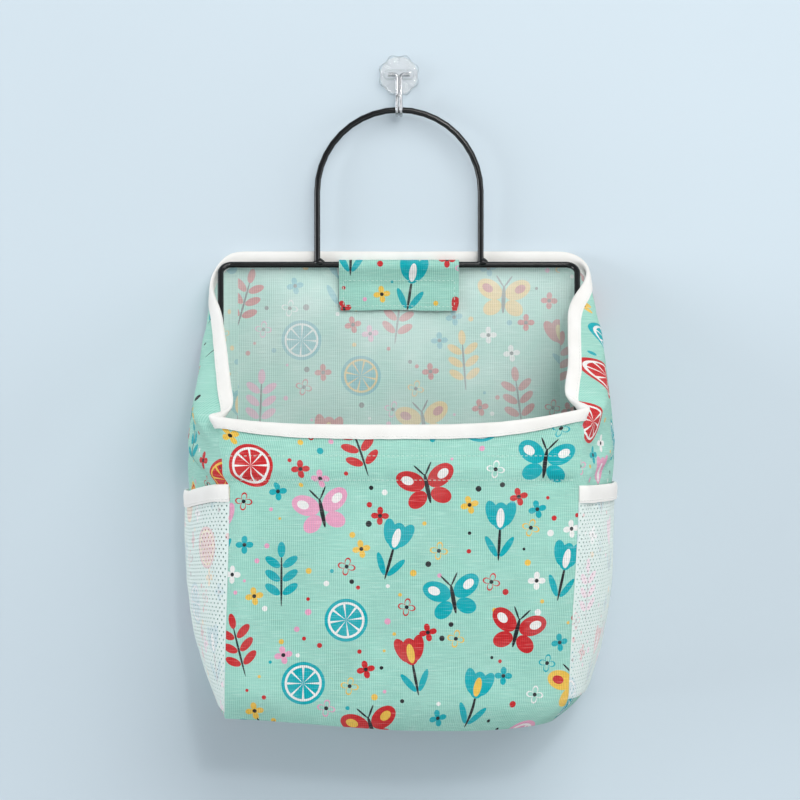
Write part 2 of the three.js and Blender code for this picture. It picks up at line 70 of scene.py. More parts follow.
BAR_Y = loop_high.y - WIRE_RADIUS
BAR_Z = loop_high.z - WIRE_RADIUS
FRONT_BAR_Y = loop_low.y + WIRE_RADIUS
FRONT_BAR_Z = loop_low.z + WIRE_RADIUS
BACK_Y = (back_low.y + back_high.y) / 2
FRONT_Y = front_high.y - CLOTH
BASE_Z = base_low.z
PANEL_X = back_high.x


def reach_near_front(node):
    """Half width of a node where it comes furthest into the room."""
    low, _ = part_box(node)
    points = [v.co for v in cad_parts[node].data.vertices]
    return max(p.x for p in points if p.y < low.y + 2 * WIRE_RADIUS)


LOOP_BACK_X = loop_high.x - WIRE_RADIUS
LOOP_FRONT_X = reach_near_front("frame_loop") - WIRE_RADIUS

# Shape of the sewn bag; pairs are for the left and the right, which hang differently
SHOULDER_X = {-1: 124.5 * MM, 1: 126.5 * MM}  # gussets at the back bar
BELLY_X = 137.0 * MM  # gussets at their widest
BASE_X = {-1: 114.0 * MM, 1: 117.0 * MM}  # gussets at the bottom
BASE_POWER = 3.6  # the gussets narrow late, close to the bottom
SHOULDER_DROP = 20.0 * MM  # below the back bar, where the gussets start to widen
PUFF = {-1: 1.4 * MM, 1: 2.8 * MM}  # slack of the gussets above the pockets
PUFF_DROP = 8.0 * MM  # below the back bar, where it starts
BACK_ROUND = 0.6  # rounding of the back corners, as a share of the gusset's flare
SEAM_AT_RIM = {-1: 122.5 * MM, 1: 124.5 * MM}  # front seams, from the middle of the bag
SEAM_AT_BAR = {-1: 108.8 * MM, 1: 112.0 * MM}
SEAM_UNDER_BAR = {-1: 104.2 * MM, 1: 111.0 * MM}
SEAM_AT_BASE = {-1: 107.5 * MM, 1: 104.5 * MM}
SEAM_FLARE = 2.4  # the seams run out to the rim late
FRONT_ROLL = 2.2 * MM  # how far the front seams are drawn back
ROLL_WIDTH = 7.0 * MM
BASE_ROLL = 6.0 * MM  # how far front and back tuck in above the bottom seam
SIDE_ROLL = {-1: 0.0 * MM, 1: 11.5 * MM}  # how far the gussets do
BASE_ROLL_HEIGHT = 19.0 * MM
CORNER_LIFT = {-1: -1.4 * MM, 1: 0.5 * MM}  # bottom corners above the seam between them
BASE_DIP = 6.5 * MM  # front and back bottom edges sag in their middle
SAG_POWER = {-1: 1.3, 1: 3.0}  # more evenly on the left, close to the corner on the right
HEM_TILT = 2.0 * MM  # bottom edge lower on the right
FRONT_SWELL = 3.0 * MM
RIM_LIFT = {-1: 7.0 * MM, 1: 12.5 * MM}  # rim's corners above its middle
RIM_POWER = {-1: 4.0, 1: 3.0}  # the rim is flat in its middle and rises near its corners
BACK_CORNER_DROP = {-1: 9.0 * MM, 1: 3.5 * MM}  # mouth rounded down at the back corners
FRONT_DIP = {-1: 6.0 * MM, 1: 2.0 * MM}  # gusset's edge below the rim, just behind it
RIM_SET_BACK = 5.0 * MM  # rim further back than the front bar's face
RIM_RISE = 34.0 * MM  # rim above the front bar
LEAN_BACK = {-1: 0.0 * MM, 1: 16.5 * MM}  # how far a gusset's free edge falls in over the mouth
LEAN_FRONT = {-1: 26.0 * MM, 1: 24.0 * MM}
LEAN_START = {-1: 0.05, 1: 0.04}  # where it starts, and where it is full, as shares of the bag's depth
LEAN_FULL = {-1: 0.30, 1: 0.40}
LEAN_END = {-1: 0.935, 1: 0.965}
LEAN_HEIGHT = 20.0 * MM
LEAN_STRAIGHT = 0.45  # share of that height next to the edge, which is straight
TAPE_HEIGHT = 8.2 * MM  # binding, from its fold to its sewn edge
TAPE_CLOTH = 0.5 * MM
BACK_EDGE_Z = binding_high.z - 1.0 * MM
RIM_EDGE_Z = max(
    v.co.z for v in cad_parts["mouth_binding"].data.vertices if v.co.y < binding_low.y + 3 * MM
) - 11.5 * MM


def mix(a, b, share):
    return a + (b - a) * share


def clamp(value, low=0.0, high=1.0):
    return max(low, min(high, value))


def ease(share):
    share = clamp(share)
    return share * share * (3 - 2 * share)


def ripple(place, size, seed):
    """Smooth noise of about -1 to 1, with bumps about size across."""
    return noise.noise(Vector(place) / size + Vector((seed * 7.3, seed * 3.1, seed * 1.7)))


def side_of(across):
    return 1 if across > 0 else -1


def running_lengths(line):
    """Distance of each point of a line from its start."""
    along = [0.0]
    for a, b in zip(line, line[1:]):
        along.append(along[-1] + (b - a).length)
    return along


def length_of(line):
    return sum((b - a).length for a, b in zip(line, line[1:]))


def side_x(z, side):
    """Half width of the bag at its gussets, by height."""
    top, puff_top = BAR_Z - SHOULDER_DROP, BAR_Z - PUFF_DROP
    puff = PUFF[side] * math.sin(math.pi * clamp((puff_top - z) / (puff_top - band_high.z))) ** 0.5
    if z > FRONT_BAR_Z:
        return mix(SHOULDER_X[side], BELLY_X, ease((top - z) / (top - FRONT_BAR_Z))) + puff
    fall = (FRONT_BAR_Z - z) / (FRONT_BAR_Z - BASE_Z)
    return mix(BELLY_X, BASE_X[side], clamp(fall, 0, 1.05) ** BASE_POWER) + puff


def front_seam_x(z, side):
    """Half width of the front panel: out to the rim's corners, in under the front bar."""
    over_bar = z - FRONT_BAR_Z
    if over_bar > 0:
        rise = clamp(over_bar / (RIM_EDGE_Z + RIM_LIFT[side] - FRONT_BAR_Z))
        return mix(SEAM_AT_BAR[side], SEAM_AT_RIM[side], rise ** SEAM_FLARE)
    under = mix(SEAM_AT_BAR[side], SEAM_UNDER_BAR[side], ease(-over_bar / (10 * MM)))
    fall = ease(-over_bar / (FRONT_BAR_Z - BASE_Z))
    return under + (SEAM_AT_BASE[side] - SEAM_UNDER_BAR[side]) * fall


def front_face_y(z):
    return FRONT_Y + RIM_SET_BACK * ease((z - FRONT_BAR_Z) / RIM_RISE)


def gusset_level(z, side, count):
    """Points of one gusset level at even spacing, from the back seam to the front seam."""
    outer = side_x(z, side)
    radius = BACK_ROUND * (outer - PANEL_X)
    line = [Vector((PANEL_X, BACK_Y, z))]
    for i in range(13):
        turn = math.pi / 2 * i / 12
        line.append(
            Vector((outer - radius * (1 - math.sin(turn)), BACK_Y - radius * (1 - math.cos(turn)), z))
        )
    start_y, end_y = BACK_Y - radius, front_face_y(z) + FRONT_ROLL
    bow_y = mix(start_y, end_y, 0.62)
    for i in range(1, 25):
        t = i / 24
        y = (1 - t) ** 2 * start_y + 2 * t * (1 - t) * bow_y + t * t * end_y
        line.append(Vector((mix(outer, front_seam_x(z, side), t * t), y, z)))
    return spaced(line, count)


def smoothed(vectors, closed, passes=3):
    for _ in range(passes):
        count = len(vectors)
        if closed:
            vectors = [(vectors[i - 1] + vectors[i] * 2 + vectors[(i + 1) % count]) / 4 for i in range(count)]
        else:
            inner = [(vectors[i - 1] + vectors[i] * 2 + vectors[i + 1]) / 4 for i in range(1, count - 1)]
            vectors = [vectors[0], *inner, vectors[-1]]
    return vectors


def spaced(line, count):
    """count + 1 points along a line, the same distance apart."""
    along = running_lengths(line)
    points, k = [], 0
    for i in range(count + 1):
        want = along[-1] * i / count
        while k < len(line) - 2 and along[k + 1] < want:
            k += 1
        share = (want - along[k]) / max(along[k + 1] - along[k], 1e-9)
        points.append(line[k].lerp(line[k + 1], clamp(share)))
    return points


# Finishes
MINT = (0.350, 0.690, 0.586)
PRINT_RED = (0.56, 0.022, 0.027)
PRINT_TEAL = (0.002, 0.40, 0.455)
PRINT_YELLOW = (0.82, 0.53, 0.085)
PRINT_PINK = (0.78, 0.37, 0.535)
PRINT_BLACK = (0.016, 0.016, 0.02)
PRINT_WHITE = (0.83, 0.84, 0.82)
FILM_GREY = (0.81, 0.89, 0.88)
TAPE_WHITE = (0.86, 0.855, 0.83)
MOTIF_CELL = 48 * MM  # one large motif in each cell of the print
MOTIF_SIZE = 20 * MM  # half its height
CLOVER_CELL = 20 * MM
CLOVER_SIZE = 6.2 * MM
SPECK_CELL = 11 * MM
SPECK_SIZE = 2.1 * MM
TULIPS = (-1, 0.28)  # kinds of large motif, as ranges of a cell's random number
BUTTERFLIES = (0.28, 0.52)
SPRIGS = (0.52, 0.78)
SLICES = (0.78, 2)
GRID_TURN = math.radians(33)  # the rows of the print run aslant, its motifs stand upright
RIB_PITCH = 1.25 * MM  # ribs of the cotton
WEFT_PITCH = 0.8 * MM
GAP_SHADE_DEPTH = 0.76  # how far the gaps between threads go to their tint of painted shade
# tint of the painted shade in the gaps between the threads
GAP_SHADE_TINT = (0.46, 0.55, 0.54)
# painted highlight: the raised tops of the threads are made lighter
RAISED_HIGHLIGHT_TINT = (1.45, 1.2, 1.22)
WORN_MINT = (0.74, 0.88, 0.83)
CLOUDY_FILM = (0.86, 0.91, 0.90)
SOILED_TAPE = (0.80, 0.79, 0.755)
# painted shade for the clear plate's dark outlines at its rim, its notches and round its boss
PLASTIC_EDGE_SHADE = (0.28, 0.31, 0.33)
TWILL_RATE = 9000.0  # radians of a wave to one metre
YARN_RATE = 16000.0
FASTENER_PITCH = 1.6 * MM
MESH_SHEER = 0.32  # share of the cloth that shows through the pockets' yarn


def opaque(colour):
    return (*colour, 1.0)


class Finish:
    """A material whose nodes are added by short calls."""

    def __init__(self, name, **constants):
        self.material = bpy.data.materials.new(name)
        self.material.use_nodes = True
        self.nodes = self.material.node_tree.nodes
        self.links = self.material.node_tree.links
        self.shader = self.nodes["Principled BSDF"]
        for socket, value in constants.items():
            self.shader.inputs[socket.replace("_", " ")].default_value = value

    def feed(self, socket, value):
        """Link a socket to another one, or set its constant; colours come without alpha."""
        if isinstance(value, bpy.types.NodeSocket):
            self.links.new(value, socket)
        else:
            socket.default_value = opaque(value) if socket.type == "RGBA" else value

    def paint(self, colour):
        self.feed(self.shader.inputs["Base Color"], colour)

    def roughen(self, value):
        self.feed(self.shader.inputs["Roughness"], value)

    def add(self, kind, inputs, output=0, **settings):
        node = self.nodes.new(kind)
        for key, value in settings.items():
            setattr(node, key, value)
        for key, value in inputs.items():
            self.feed(node.inputs[key], value)
        return node.outputs[output]

    def math(self, operation, a, b=0.0, c=0.0):
        return self.add("ShaderNodeMath", {0: a, 1: b, 2: c}, operation=operation)

    def times(self, a, b):
        return self.math("MULTIPLY", a, b)

    def less(self, a, b):
        return self.math("LESS_THAN", a, b)

    def more(self, a, b):
        return self.math("GREATER_THAN", a, b)

    def wave(self, value, rate, operation="SINE"):
        return self.math(operation, self.times(value, rate))

    def vector(self, operation, a, b=(0, 0, 0), output="Vector"):
        return self.add("ShaderNodeVectorMath", {0: a, 1: b}, output, operation=operation)

    def length(self, where):
        return self.vector("LENGTH", where, output="Value")

    def turned(self, where, angle):
        return self.add("ShaderNodeVectorRotate", {"Vector": where, "Angle": angle}, rotation_type="Z_AXIS")

    def over(self, share, below, above):
        """Colour above laid over colour below."""
        return self.add("ShaderNodeMix", {0: share, 6: below, 7: above}, 2, data_type="RGBA")

    def spread(self, value, low, high, to_low=0.0, to_high=1.0):
        return self.add("ShaderNodeMapRange", {"Value": value, 1: low, 2: high, 3: to_low, 4: to_high})

    def mottled(self, value, light, dark, low=0.3, high=0.7):
        """Two colours that follow a noise."""
        return self.over(self.spread(value, low, high), light, dark)

    def noise(self, where, scale, detail=2.0):
        return self.add("ShaderNodeTexNoise", {"Vector": where, "Scale": scale, "Detail": detail}, "Fac")

    def uv(self):
        return self.add("ShaderNodeUVMap", {}, uv_map="cloth")

    def place(self):
        return self.add("ShaderNodeTexCoord", {}, "Object")

    def stretched(self, where, factors):
        return self.vector("MULTIPLY", where, factors)

    def parts(self, where):
        node = self.nodes.new("ShaderNodeSeparateXYZ")
        self.links.new(where, node.inputs[0])
        return node.outputs

    def bump(self, height, distance, strength):
        inputs = {"Height": height, "Distance": distance, "Strength": strength}
        self.links.new(self.add("ShaderNodeBump", inputs), self.shader.inputs["Normal"])

    def ellipse(self, where, centre, radii, turn=0.0):
        """1 inside an ellipse of the motif's own plane, and 0 outside."""
        away = self.vector("SUBTRACT", where, (*centre, 0))
        if turn:
            away = self.turned(away, -turn)
        away = self.stretched(away, (1 / radii[0], 1 / radii[1], 0))
        return self.less(self.length(away), 1.0)

    def either(self, mask, without, within):
        """One number where a mask is 0, another where it is 1."""
        return self.add("ShaderNodeMix", {0: mask, 2: without, 3: within}, 0)

    def any_of(self, *masks):
        found = masks[0]
        for mask in masks[1:]:
            found = self.math("MAXIMUM", found, mask)
        return found


def nearest_centre(finish, where, cell, shift, jitter):
    """Centre of the print's cell that a place lies in, and three random numbers of that cell."""
    offset = (shift, shift * 0.37, 0)
    moved = finish.turned(finish.vector("ADD", where, offset), GRID_TURN)
    cells = finish.nodes.new("ShaderNodeTexVoronoi")
    cells.voronoi_dimensions = "2D"
    for key, value in {"Vector": moved, "Scale": 1 / cell, "Randomness": jitter}.items():
        finish.feed(cells.inputs[key], value)
    back = finish.turned(cells.outputs["Position"], -GRID_TURN)
    centre = finish.vector("SUBTRACT", back, offset)
    return centre, finish.parts(cells.outputs["Color"])


def motif_plane(finish, where, centre, chance, size):
    """A motif's own coordinates: upright with a small tilt, 1 at its size."""
    away = finish.vector("SUBTRACT", where, centre)
    away = finish.turned(away, finish.spread(chance[1], 0, 1, -0.3, 0.3))
    return finish.stretched(away, (1 / size, 1 / size, 0))


def large_motif(finish, where):
    centre, chance = nearest_centre(finish, where, MOTIF_CELL, 0.413, 0.13)
    return motif_plane(finish, where, centre, chance, MOTIF_SIZE), chance


def clover_centre(finish, where):
    return nearest_centre(finish, where, CLOVER_CELL, 0.177, 0.45)


def clear_of_motifs(finish, where, margin):
    """1 where a small print with its centre there would miss the large motifs."""
    flat, chance = large_motif(finish, where)
    tall = finish.ellipse(flat, (0, 0), (0.52 + margin, 1.04 + margin))
    wide = finish.ellipse(flat, (0, 0), (0.92 + margin, 0.66 + margin))
    kind = chance[2]
    broad = finish.any_of(within(finish, kind, *BUTTERFLIES), within(finish, kind, *SLICES))
    return finish.math("SUBTRACT", 1.0, finish.either(broad, tall, wide))


def palette(finish, chance, colours):
    node = finish.nodes.new("ShaderNodeValToRGB")
    node.color_ramp.interpolation = "CONSTANT"
    stops = node.color_ramp.elements
    while len(stops) < len(colours):
        stops.new(1.0)
    for i, colour in enumerate(colours):
        stops[i].position = i / len(colours)
        stops[i].color = opaque(colour)
    finish.links.new(chance, node.inputs[0])
    return node.outputs[0]


def within(finish, chance, low, high):
    above = finish.more(chance, low)
    return finish.times(above, finish.less(chance, high))


def printed_colour(finish, where):
    """Scattered tulips, butterflies, sprigs and fruit slices, with specks between them, on mint."""
    # flat is a motif's own plane; both is that plane folded along its upright middle line
    flat, chance = large_motif(finish, where)
    x, y, _ = finish.parts(flat)
    both = finish.add("ShaderNodeCombineXYZ", {"X": finish.math("ABSOLUTE", x), "Y": y})
    kind = chance[2]

    tulip = within(finish, kind, *TULIPS)
    side_petal = finish.ellipse(both, (0.25, 0.50), (0.19, 0.40), -0.32)
    bloom = finish.any_of(finish.ellipse(flat, (0, 0.42), (0.26, 0.42)), side_petal)
    stalk = finish.ellipse(flat, (0, -0.40), (0.045, 0.56))
    blade = finish.ellipse(both, (0.24, -0.52), (0.10, 0.36), -0.55)
    heart_petal = finish.ellipse(flat, (0, 0.36), (0.12, 0.30))

    butterfly = within(finish, kind, *BUTTERFLIES)
    wing = finish.any_of(
        finish.ellipse(both, (0.46, 0.30), (0.45, 0.30), 0.55),
        finish.ellipse(both, (0.36, -0.30), (0.32, 0.24), -0.55),
    )
    wing_spot = finish.ellipse(both, (0.54, 0.34), (0.19, 0.13), 0.55)
    body = finish.any_of(
        finish.ellipse(flat, (0, -0.02), (0.065, 0.46)),
        finish.ellipse(both, (0.14, 0.58), (0.03, 0.22), -0.6),
    )

    sprig = within(finish, kind, *SPRIGS)
    leaves = finish.any_of(
        *[finish.ellipse(both, (0.27, rise), (0.27, 0.125), 0.62) for rise in (-0.42, 0.0, 0.42)],
        finish.ellipse(flat, (0, 0.80), (0.12, 0.24)),
    )
    stem = finish.ellipse(flat, (0, -0.14), (0.032, 0.82))

    fruit = within(finish, kind, *SLICES)
    radius = finish.length(flat)
    peel = finish.less(radius, 0.66)
    pith = finish.less(radius, 0.56)
    angle = finish.math("ARCTAN2", y, x)
    wedges = finish.math("ABSOLUTE", finish.wave(angle, 4.0))
    wedge = finish.more(wedges, 0.28)
    flesh = finish.times(finish.less(radius, 0.49), wedge)

    of_kind = finish.times
    main = finish.any_of(
        of_kind(tulip, bloom), of_kind(butterfly, wing), of_kind(sprig, leaves), of_kind(fruit, peel)
    )
    dark = finish.any_of(of_kind(tulip, stalk), of_kind(butterfly, body), of_kind(sprig, stem))
    light = finish.any_of(of_kind(tulip, heart_petal), of_kind(butterfly, wing_spot), of_kind(fruit, pith))
    main_colours = [PRINT_RED, PRINT_TEAL, PRINT_PINK, PRINT_TEAL, PRINT_YELLOW, PRINT_RED]
    main_colour = palette(finish, chance[0], main_colours)
    light_colours = [PRINT_WHITE, PRINT_YELLOW, PRINT_WHITE, PRINT_WHITE, PRINT_RED, PRINT_YELLOW]
    light_colour = palette(finish, chance[0], light_colours)

    centre, chances = clover_centre(finish, where)
    clover = motif_plane(finish, where, centre, chances, CLOVER_SIZE)
    clover_x, clover_y, _ = finish.parts(clover)
    clover_radius = finish.length(clover)
    clover_angle = finish.math("ARCTAN2", clover_y, clover_x)
    lobes = finish.math("ABSOLUTE", finish.wave(clover_angle, 2.0, "COSINE"))
    inside = finish.math("SUBTRACT", finish.math("MULTIPLY_ADD", lobes, 0.62, 0.28), clover_radius)
    four_leaf = finish.more(inside, 0.0)
    outline = within(finish, inside, 0.0, 0.16)
    outlined = finish.more(chances[1], 0.62)
    clover_shape = finish.either(outlined, four_leaf, outline)
    clover_heart = finish.less(clover_radius, 0.2)
    clover_wanted = clear_of_motifs(finish, centre, 0.9 * CLOVER_SIZE / MOTIF_SIZE)
    clover_wanted = finish.times(clover_wanted, finish.more(chances[2], 0.15))
    clover_colours = [PRINT_PINK, PRINT_TEAL, PRINT_RED, PRINT_YELLOW, PRINT_WHITE, PRINT_RED]
    clover_colour = palette(finish, chances[0], clover_colours)

    spot, luck = nearest_centre(finish, where, SPECK_CELL, 0.291, 0.6)
    span = finish.length(motif_plane(finish, where, spot, luck, SPECK_SIZE))
    speck = finish.less(span, finish.spread(luck[1], 0, 1, 0.4, 1.0))
    near_clover, _ = clover_centre(finish, spot)
    gap = finish.length(finish.vector("SUBTRACT", spot, near_clover))
    wanted = finish.more(gap, CLOVER_SIZE + SPECK_SIZE)
    wanted = finish.times(wanted, clear_of_motifs(finish, spot, SPECK_SIZE / MOTIF_SIZE))
    wanted = finish.times(wanted, finish.more(luck[2], 0.25))
    speck_colours = [PRINT_RED, PRINT_YELLOW, PRINT_TEAL, PRINT_WHITE, PRINT_PINK, PRINT_BLACK]
    speck_colour = palette(finish, luck[0], speck_colours)

    wash = finish.noise(where, 24.0, 3.0)
    faded = tuple(c * 0.93 for c in MINT)
    ground = finish.mottled(wash, MINT, faded)
    colour = finish.over(of_kind(wanted, speck), ground, speck_colour)
    colour = finish.over(of_kind(clover_wanted, clover_shape), colour, clover_colour)
    colour = finish.over(of_kind(clover_wanted, clover_heart), colour, PRINT_BLACK)
    leaf_colour = finish.over(tulip, main_colour, PRINT_TEAL)
    colour = finish.over(of_kind(tulip, blade), colour, leaf_colour)
    colour = finish.over(dark, colour, PRINT_BLACK)
    colour = finish.over(main, colour, main_colour)
    colour = finish.over(of_kind(butterfly, body), colour, PRINT_BLACK)
    colour = finish.over(light, colour, light_colour)
    return finish.over(of_kind(fruit, flesh), colour, main_colour)


def weave(finish, where):
    """Height of the ribbed cotton, with thicker threads here and there."""
    x, y, _ = finish.parts(where)
    rib = finish.wave(x, 2 * math.pi / RIB_PITCH)
    weft = finish.wave(y, 2 * math.pi / WEFT_PITCH)
    slub = finish.noise(finish.stretched(where, (0.12, 2.2, 1)), 700.0, 2.0)
    height = finish.math("MULTIPLY_ADD", weft, 0.5, rib)
    return finish.math("MULTIPLY_ADD", finish.spread(slub, 0.4, 0.8), 1.6, height), slub


def with_gap_shade(finish, where, colour, height):
    """Colour with painted shade in the gaps between the threads, more in some patches than in others."""
    # painted shade: the lower the weave, the darker the colour
    gap = finish.spread(height, -1.35, 0.3, GAP_SHADE_DEPTH, 0.0)
    patch = finish.spread(finish.noise(where, 26.0, 3.0), 0.35, 0.7, 0.3, 1.0)
    dark = finish.stretched(colour, GAP_SHADE_TINT)
    return finish.over(finish.times(gap, patch), colour, dark)


def printed_cotton():
    finish = Finish(
        "printed_cotton", Roughness=0.88, Specular_IOR_Level=0.15, Sheen_Weight=0.09, Sheen_Roughness=0.5
    )
    where = finish.uv()
    height, slub = weave(finish, where)
    # painted shade in the gaps between the threads
    colour = with_gap_shade(finish, where, printed_colour(finish, where), height)
    # painted highlight on the threads' raised tops
    raised = finish.spread(height, 0.4, 2.2, 0.0, 0.5)
    colour = finish.over(raised, colour, finish.stretched(colour, RAISED_HIGHLIGHT_TINT))
    worn = finish.spread(slub, 0.57, 0.74, 0.0, 0.18)
    colour = finish.over(worn, colour, PRINT_WHITE)
    faded = finish.spread(finish.noise(where, 38.0, 4.0), 0.42, 0.72, 0.0, 0.06)
    finish.paint(finish.over(faded, colour, WORN_MINT))
    crumple = finish.noise(finish.stretched(where, (1.0, 0.7, 1)), 24.0, 3.0)
    finish.bump(finish.math("MULTIPLY_ADD", crumple, 45.0, height), 0.00022, 0.55)
    return finish.material


def film_backed_inside():
    finish = Finish("film_backed_inside", Roughness=0.55, Sheen_Weight=0.05)
    where = finish.uv()
    height, slub = weave(finish, where)
    colour = finish.over(0.40, printed_colour(finish, where), FILM_GREY)
    colour = finish.over(finish.spread(slub, 0.57, 0.74, 0.0, 0.22), colour, PRINT_WHITE)
    cloudy = finish.spread(finish.noise(where, 30.0, 3.0), 0.35, 0.7, 0.0, 0.34)
    colour = finish.over(cloudy, colour, CLOUDY_FILM)
    # painted shade in the gaps between the threads
    finish.paint(with_gap_shade(finish, where, colour, height))
    finish.bump(height, 0.00018, 0.4)
    return finish.material


def white_tape():
    finish = Finish("white_tape", Roughness=0.9, Sheen_Weight=0.2, Sheen_Roughness=0.5)
    where = finish.uv()
    twill = finish.wave(finish.vector("DOT_PRODUCT", where, (1, 1, 0), "Value"), TWILL_RATE)
    crumple = finish.noise(finish.stretched(where, (1.0, 0.35, 1)), 160.0, 2.0)
    soil = finish.noise(where, 45.0, 3.0)
    finish.paint(finish.mottled(soil, TAPE_WHITE, SOILED_TAPE, 0.35, 0.75))
    finish.bump(finish.math("MULTIPLY_ADD", crumple, 2.0, twill), 0.0001, 0.3)
    return finish.material


def white_mesh():
    finish = Finish("white_mesh", Roughness=0.62, Sheen_Weight=0.1)
    where = finish.uv()
    slant = finish.vector("DOT_PRODUCT", where, (1, 0.6, 0), "Value")
    yarn = finish.wave(slant, YARN_RATE)
    tone = finish.noise(where, 90.0, 2.0)
    colour = finish.mottled(tone, (0.96, 0.97, 0.965), (0.92, 0.94, 0.935))
    finish.paint(finish.over(MESH_SHEER, colour, printed_colour(finish, where)))
    finish.bump(yarn, 0.00008, 0.4)
    return finish.material


def sewing_thread(name, light, dark):
    finish = Finish(name, Roughness=0.7)
    where = finish.place()
    ply = finish.noise(where, 5200.0, 1.0)
    finish.paint(finish.mottled(ply, light, dark))
    finish.bump(ply, 0.0001, 0.4)
    return finish.material


def black_enamel():
    finish = Finish("black_enamel", Specular_IOR_Level=0.42)
    where = finish.place()
    peel = finish.noise(where, 900.0, 2.0)
    rub = finish.noise(where, 120.0, 3.0)
    finish.paint(finish.mottled(rub, (0.002, 0.0025, 0.003), (0.005, 0.0055, 0.006), 0.5, 0.8))
    finish.roughen(finish.spread(rub, 0.3, 0.8, 0.12, 0.22))
    finish.bump(peel, 0.00006, 0.35)
    return finish.material


def polished_steel():
    finish = Finish("polished_steel", Metallic=1.0)
    where = finish.place()
    drawn = finish.noise(finish.stretched(where, (1, 1, 0.08)), 4200.0, 2.0)
    finish.paint(finish.mottled(drawn, (0.56, 0.56, 0.57), (0.42, 0.43, 0.44)))
    finish.roughen(finish.spread(drawn, 0.2, 0.8, 0.10, 0.24))
    finish.bump(drawn, 0.00003, 0.25)
    return finish.material


def clear_plastic():
    finish = Finish("clear_plastic", Transmission_Weight=1.0, IOR=1.47, Alpha=0.36)
    where = finish.place()
    haze = finish.noise(where, 320.0, 2.0)
    x, _, z = finish.parts(where)
    wave = finish.wave(finish.math("ARCTAN2", z, x), SCALLOP_COUNT, "COSINE")
    radius = finish.length(finish.stretched(where, (1, 0, 1)))
    outline = finish.math("MULTIPLY_ADD", wave, -SCALLOP_DEPTH, PLATE_RADIUS)
    reach = finish.math("DIVIDE", radius, outline)
    # painted shade: dark lines along the notches between the scallops, round the boss and at the rim
    notch_shade = finish.times(
        finish.spread(wave, 0.75, 1.0), finish.spread(reach, 0.5, 0.95, 0.0, 0.6)
    )
    past_arm = finish.math("MAXIMUM", finish.math("SUBTRACT", finish.math("ABSOLUTE", x), HOOK_ARM), 0.0)
    across = finish.add("ShaderNodeCombineXYZ", {"X": past_arm, "Z": z})
    boss = finish.math("SUBTRACT", finish.length(across), BOSS_RADIUS)
    boss_edge_shade = finish.spread(finish.math("ABSOLUTE", boss), 0.15 * MM, 0.7 * MM, 0.8, 0.0)
    edge = finish.any_of(finish.spread(reach, 0.90, 0.97), notch_shade, boss_edge_shade)
    colour = finish.mottled(haze, (0.98, 0.99, 0.99), (0.95, 0.97, 0.98))
    finish.paint(finish.over(edge, colour, PLASTIC_EDGE_SHADE))
    finish.roughen(finish.spread(haze, 0.3, 0.8, 0.03, 0.10))
    finish.bump(haze, 0.0001, 0.2)
    return finish.material


def adhesive_foam():
    finish = Finish("adhesive_foam", Roughness=0.4, Alpha=0.3)
    where = finish.place()
    pores = finish.noise(where, 1500.0, 3.0)
    finish.paint(finish.mottled(pores, (0.90, 0.92, 0.93), (0.95, 0.96, 0.96)))
    finish.bump(pores, 0.0002, 0.4)
    return finish.material


def fastener_tape():
    finish = Finish("fastener_tape", Roughness=0.95, Sheen_Weight=0.3)
    where = finish.place()
    loops = finish.noise(where, 1700.0, 2.0)
    rows = finish.wave(finish.parts(where)[0], 2 * math.pi / FASTENER_PITCH)
    finish.paint(finish.mottled(loops, (0.74, 0.73, 0.69), (0.86, 0.85, 0.81)))
    finish.bump(finish.math("MULTIPLY_ADD", loops, 2.0, rows), 0.0005, 0.7)
    return finish.material


COTTON = printed_cotton()
INSIDE = film_backed_inside()
TAPE = white_tape()
MESH = white_mesh()
THREAD = sewing_thread("white_thread", (0.86, 0.87, 0.84), (0.72, 0.74, 0.71))
MINT_THREAD = sewing_thread("mint_thread", (0.66, 0.83, 0.75), (0.50, 0.70, 0.62))
ENAMEL = black_enamel()
STEEL = polished_steel()
FOAM = adhesive_foam()
FASTENER = fastener_tape()


# Cloth surfaces
ROWS = 130  # rows of every wall, so that neighbours share their seam points
FRONT_COLUMNS = 112
GUSSET_COLUMNS = 56
BACK_COLUMNS = 104
MOUTH_ROWS = 14  # rows below the mouth that follow its rounded corners
CORNER_PASSES = 8  # how often the mouth's corners are smoothed
BOTTOM_RINGS = 14
BOTTOM_SAG = 2.4  # millimetres
MIDDLE_Y = (BACK_Y + FRONT_Y) / 2
HALF_DEPTH = (BACK_Y - FRONT_Y) / 2
CASING_RISE = 10.3 * MM  # stitch rows of the bar casing, above and below the front bar
CASING_DROP = 4.6 * MM


def base_edge(across, corner):
    """Height of the bottom seam: across runs -1 to 1, corner rises to 1 at the bag's four corners."""
    lift = mix(CORNER_LIFT[-1], CORNER_LIFT[1], (across + 1) / 2)
    return BASE_Z + lift * corner ** 6 - HEM_TILT * across


def sagging_base(across):
    power = SAG_POWER[side_of(across)]
    return base_edge(across, abs(across)) - BASE_DIP * (1 - abs(across) ** power)


def tucked(point, base):
    """The walls draw in just above the bottom seam."""
    low = (1 - clamp((point.z - base) / BASE_ROLL_HEIGHT)) ** 2
    side_roll = mix(SIDE_ROLL[-1], SIDE_ROLL[1], clamp((point.x / PANEL_X + 1) / 2))
    x = point.x * (1 - low * side_roll / PANEL_X)
    y = MIDDLE_Y + (point.y - MIDDLE_Y) * (1 - low * BASE_ROLL / HALF_DEPTH)
    return Vector((x, y, point.z))


def bell(distance, width):
    return math.exp(-((distance / width) ** 2))


def rim_edge(across):
    side = side_of(across)
    return RIM_EDGE_Z + RIM_LIFT[side] * abs(across) ** RIM_POWER[side]


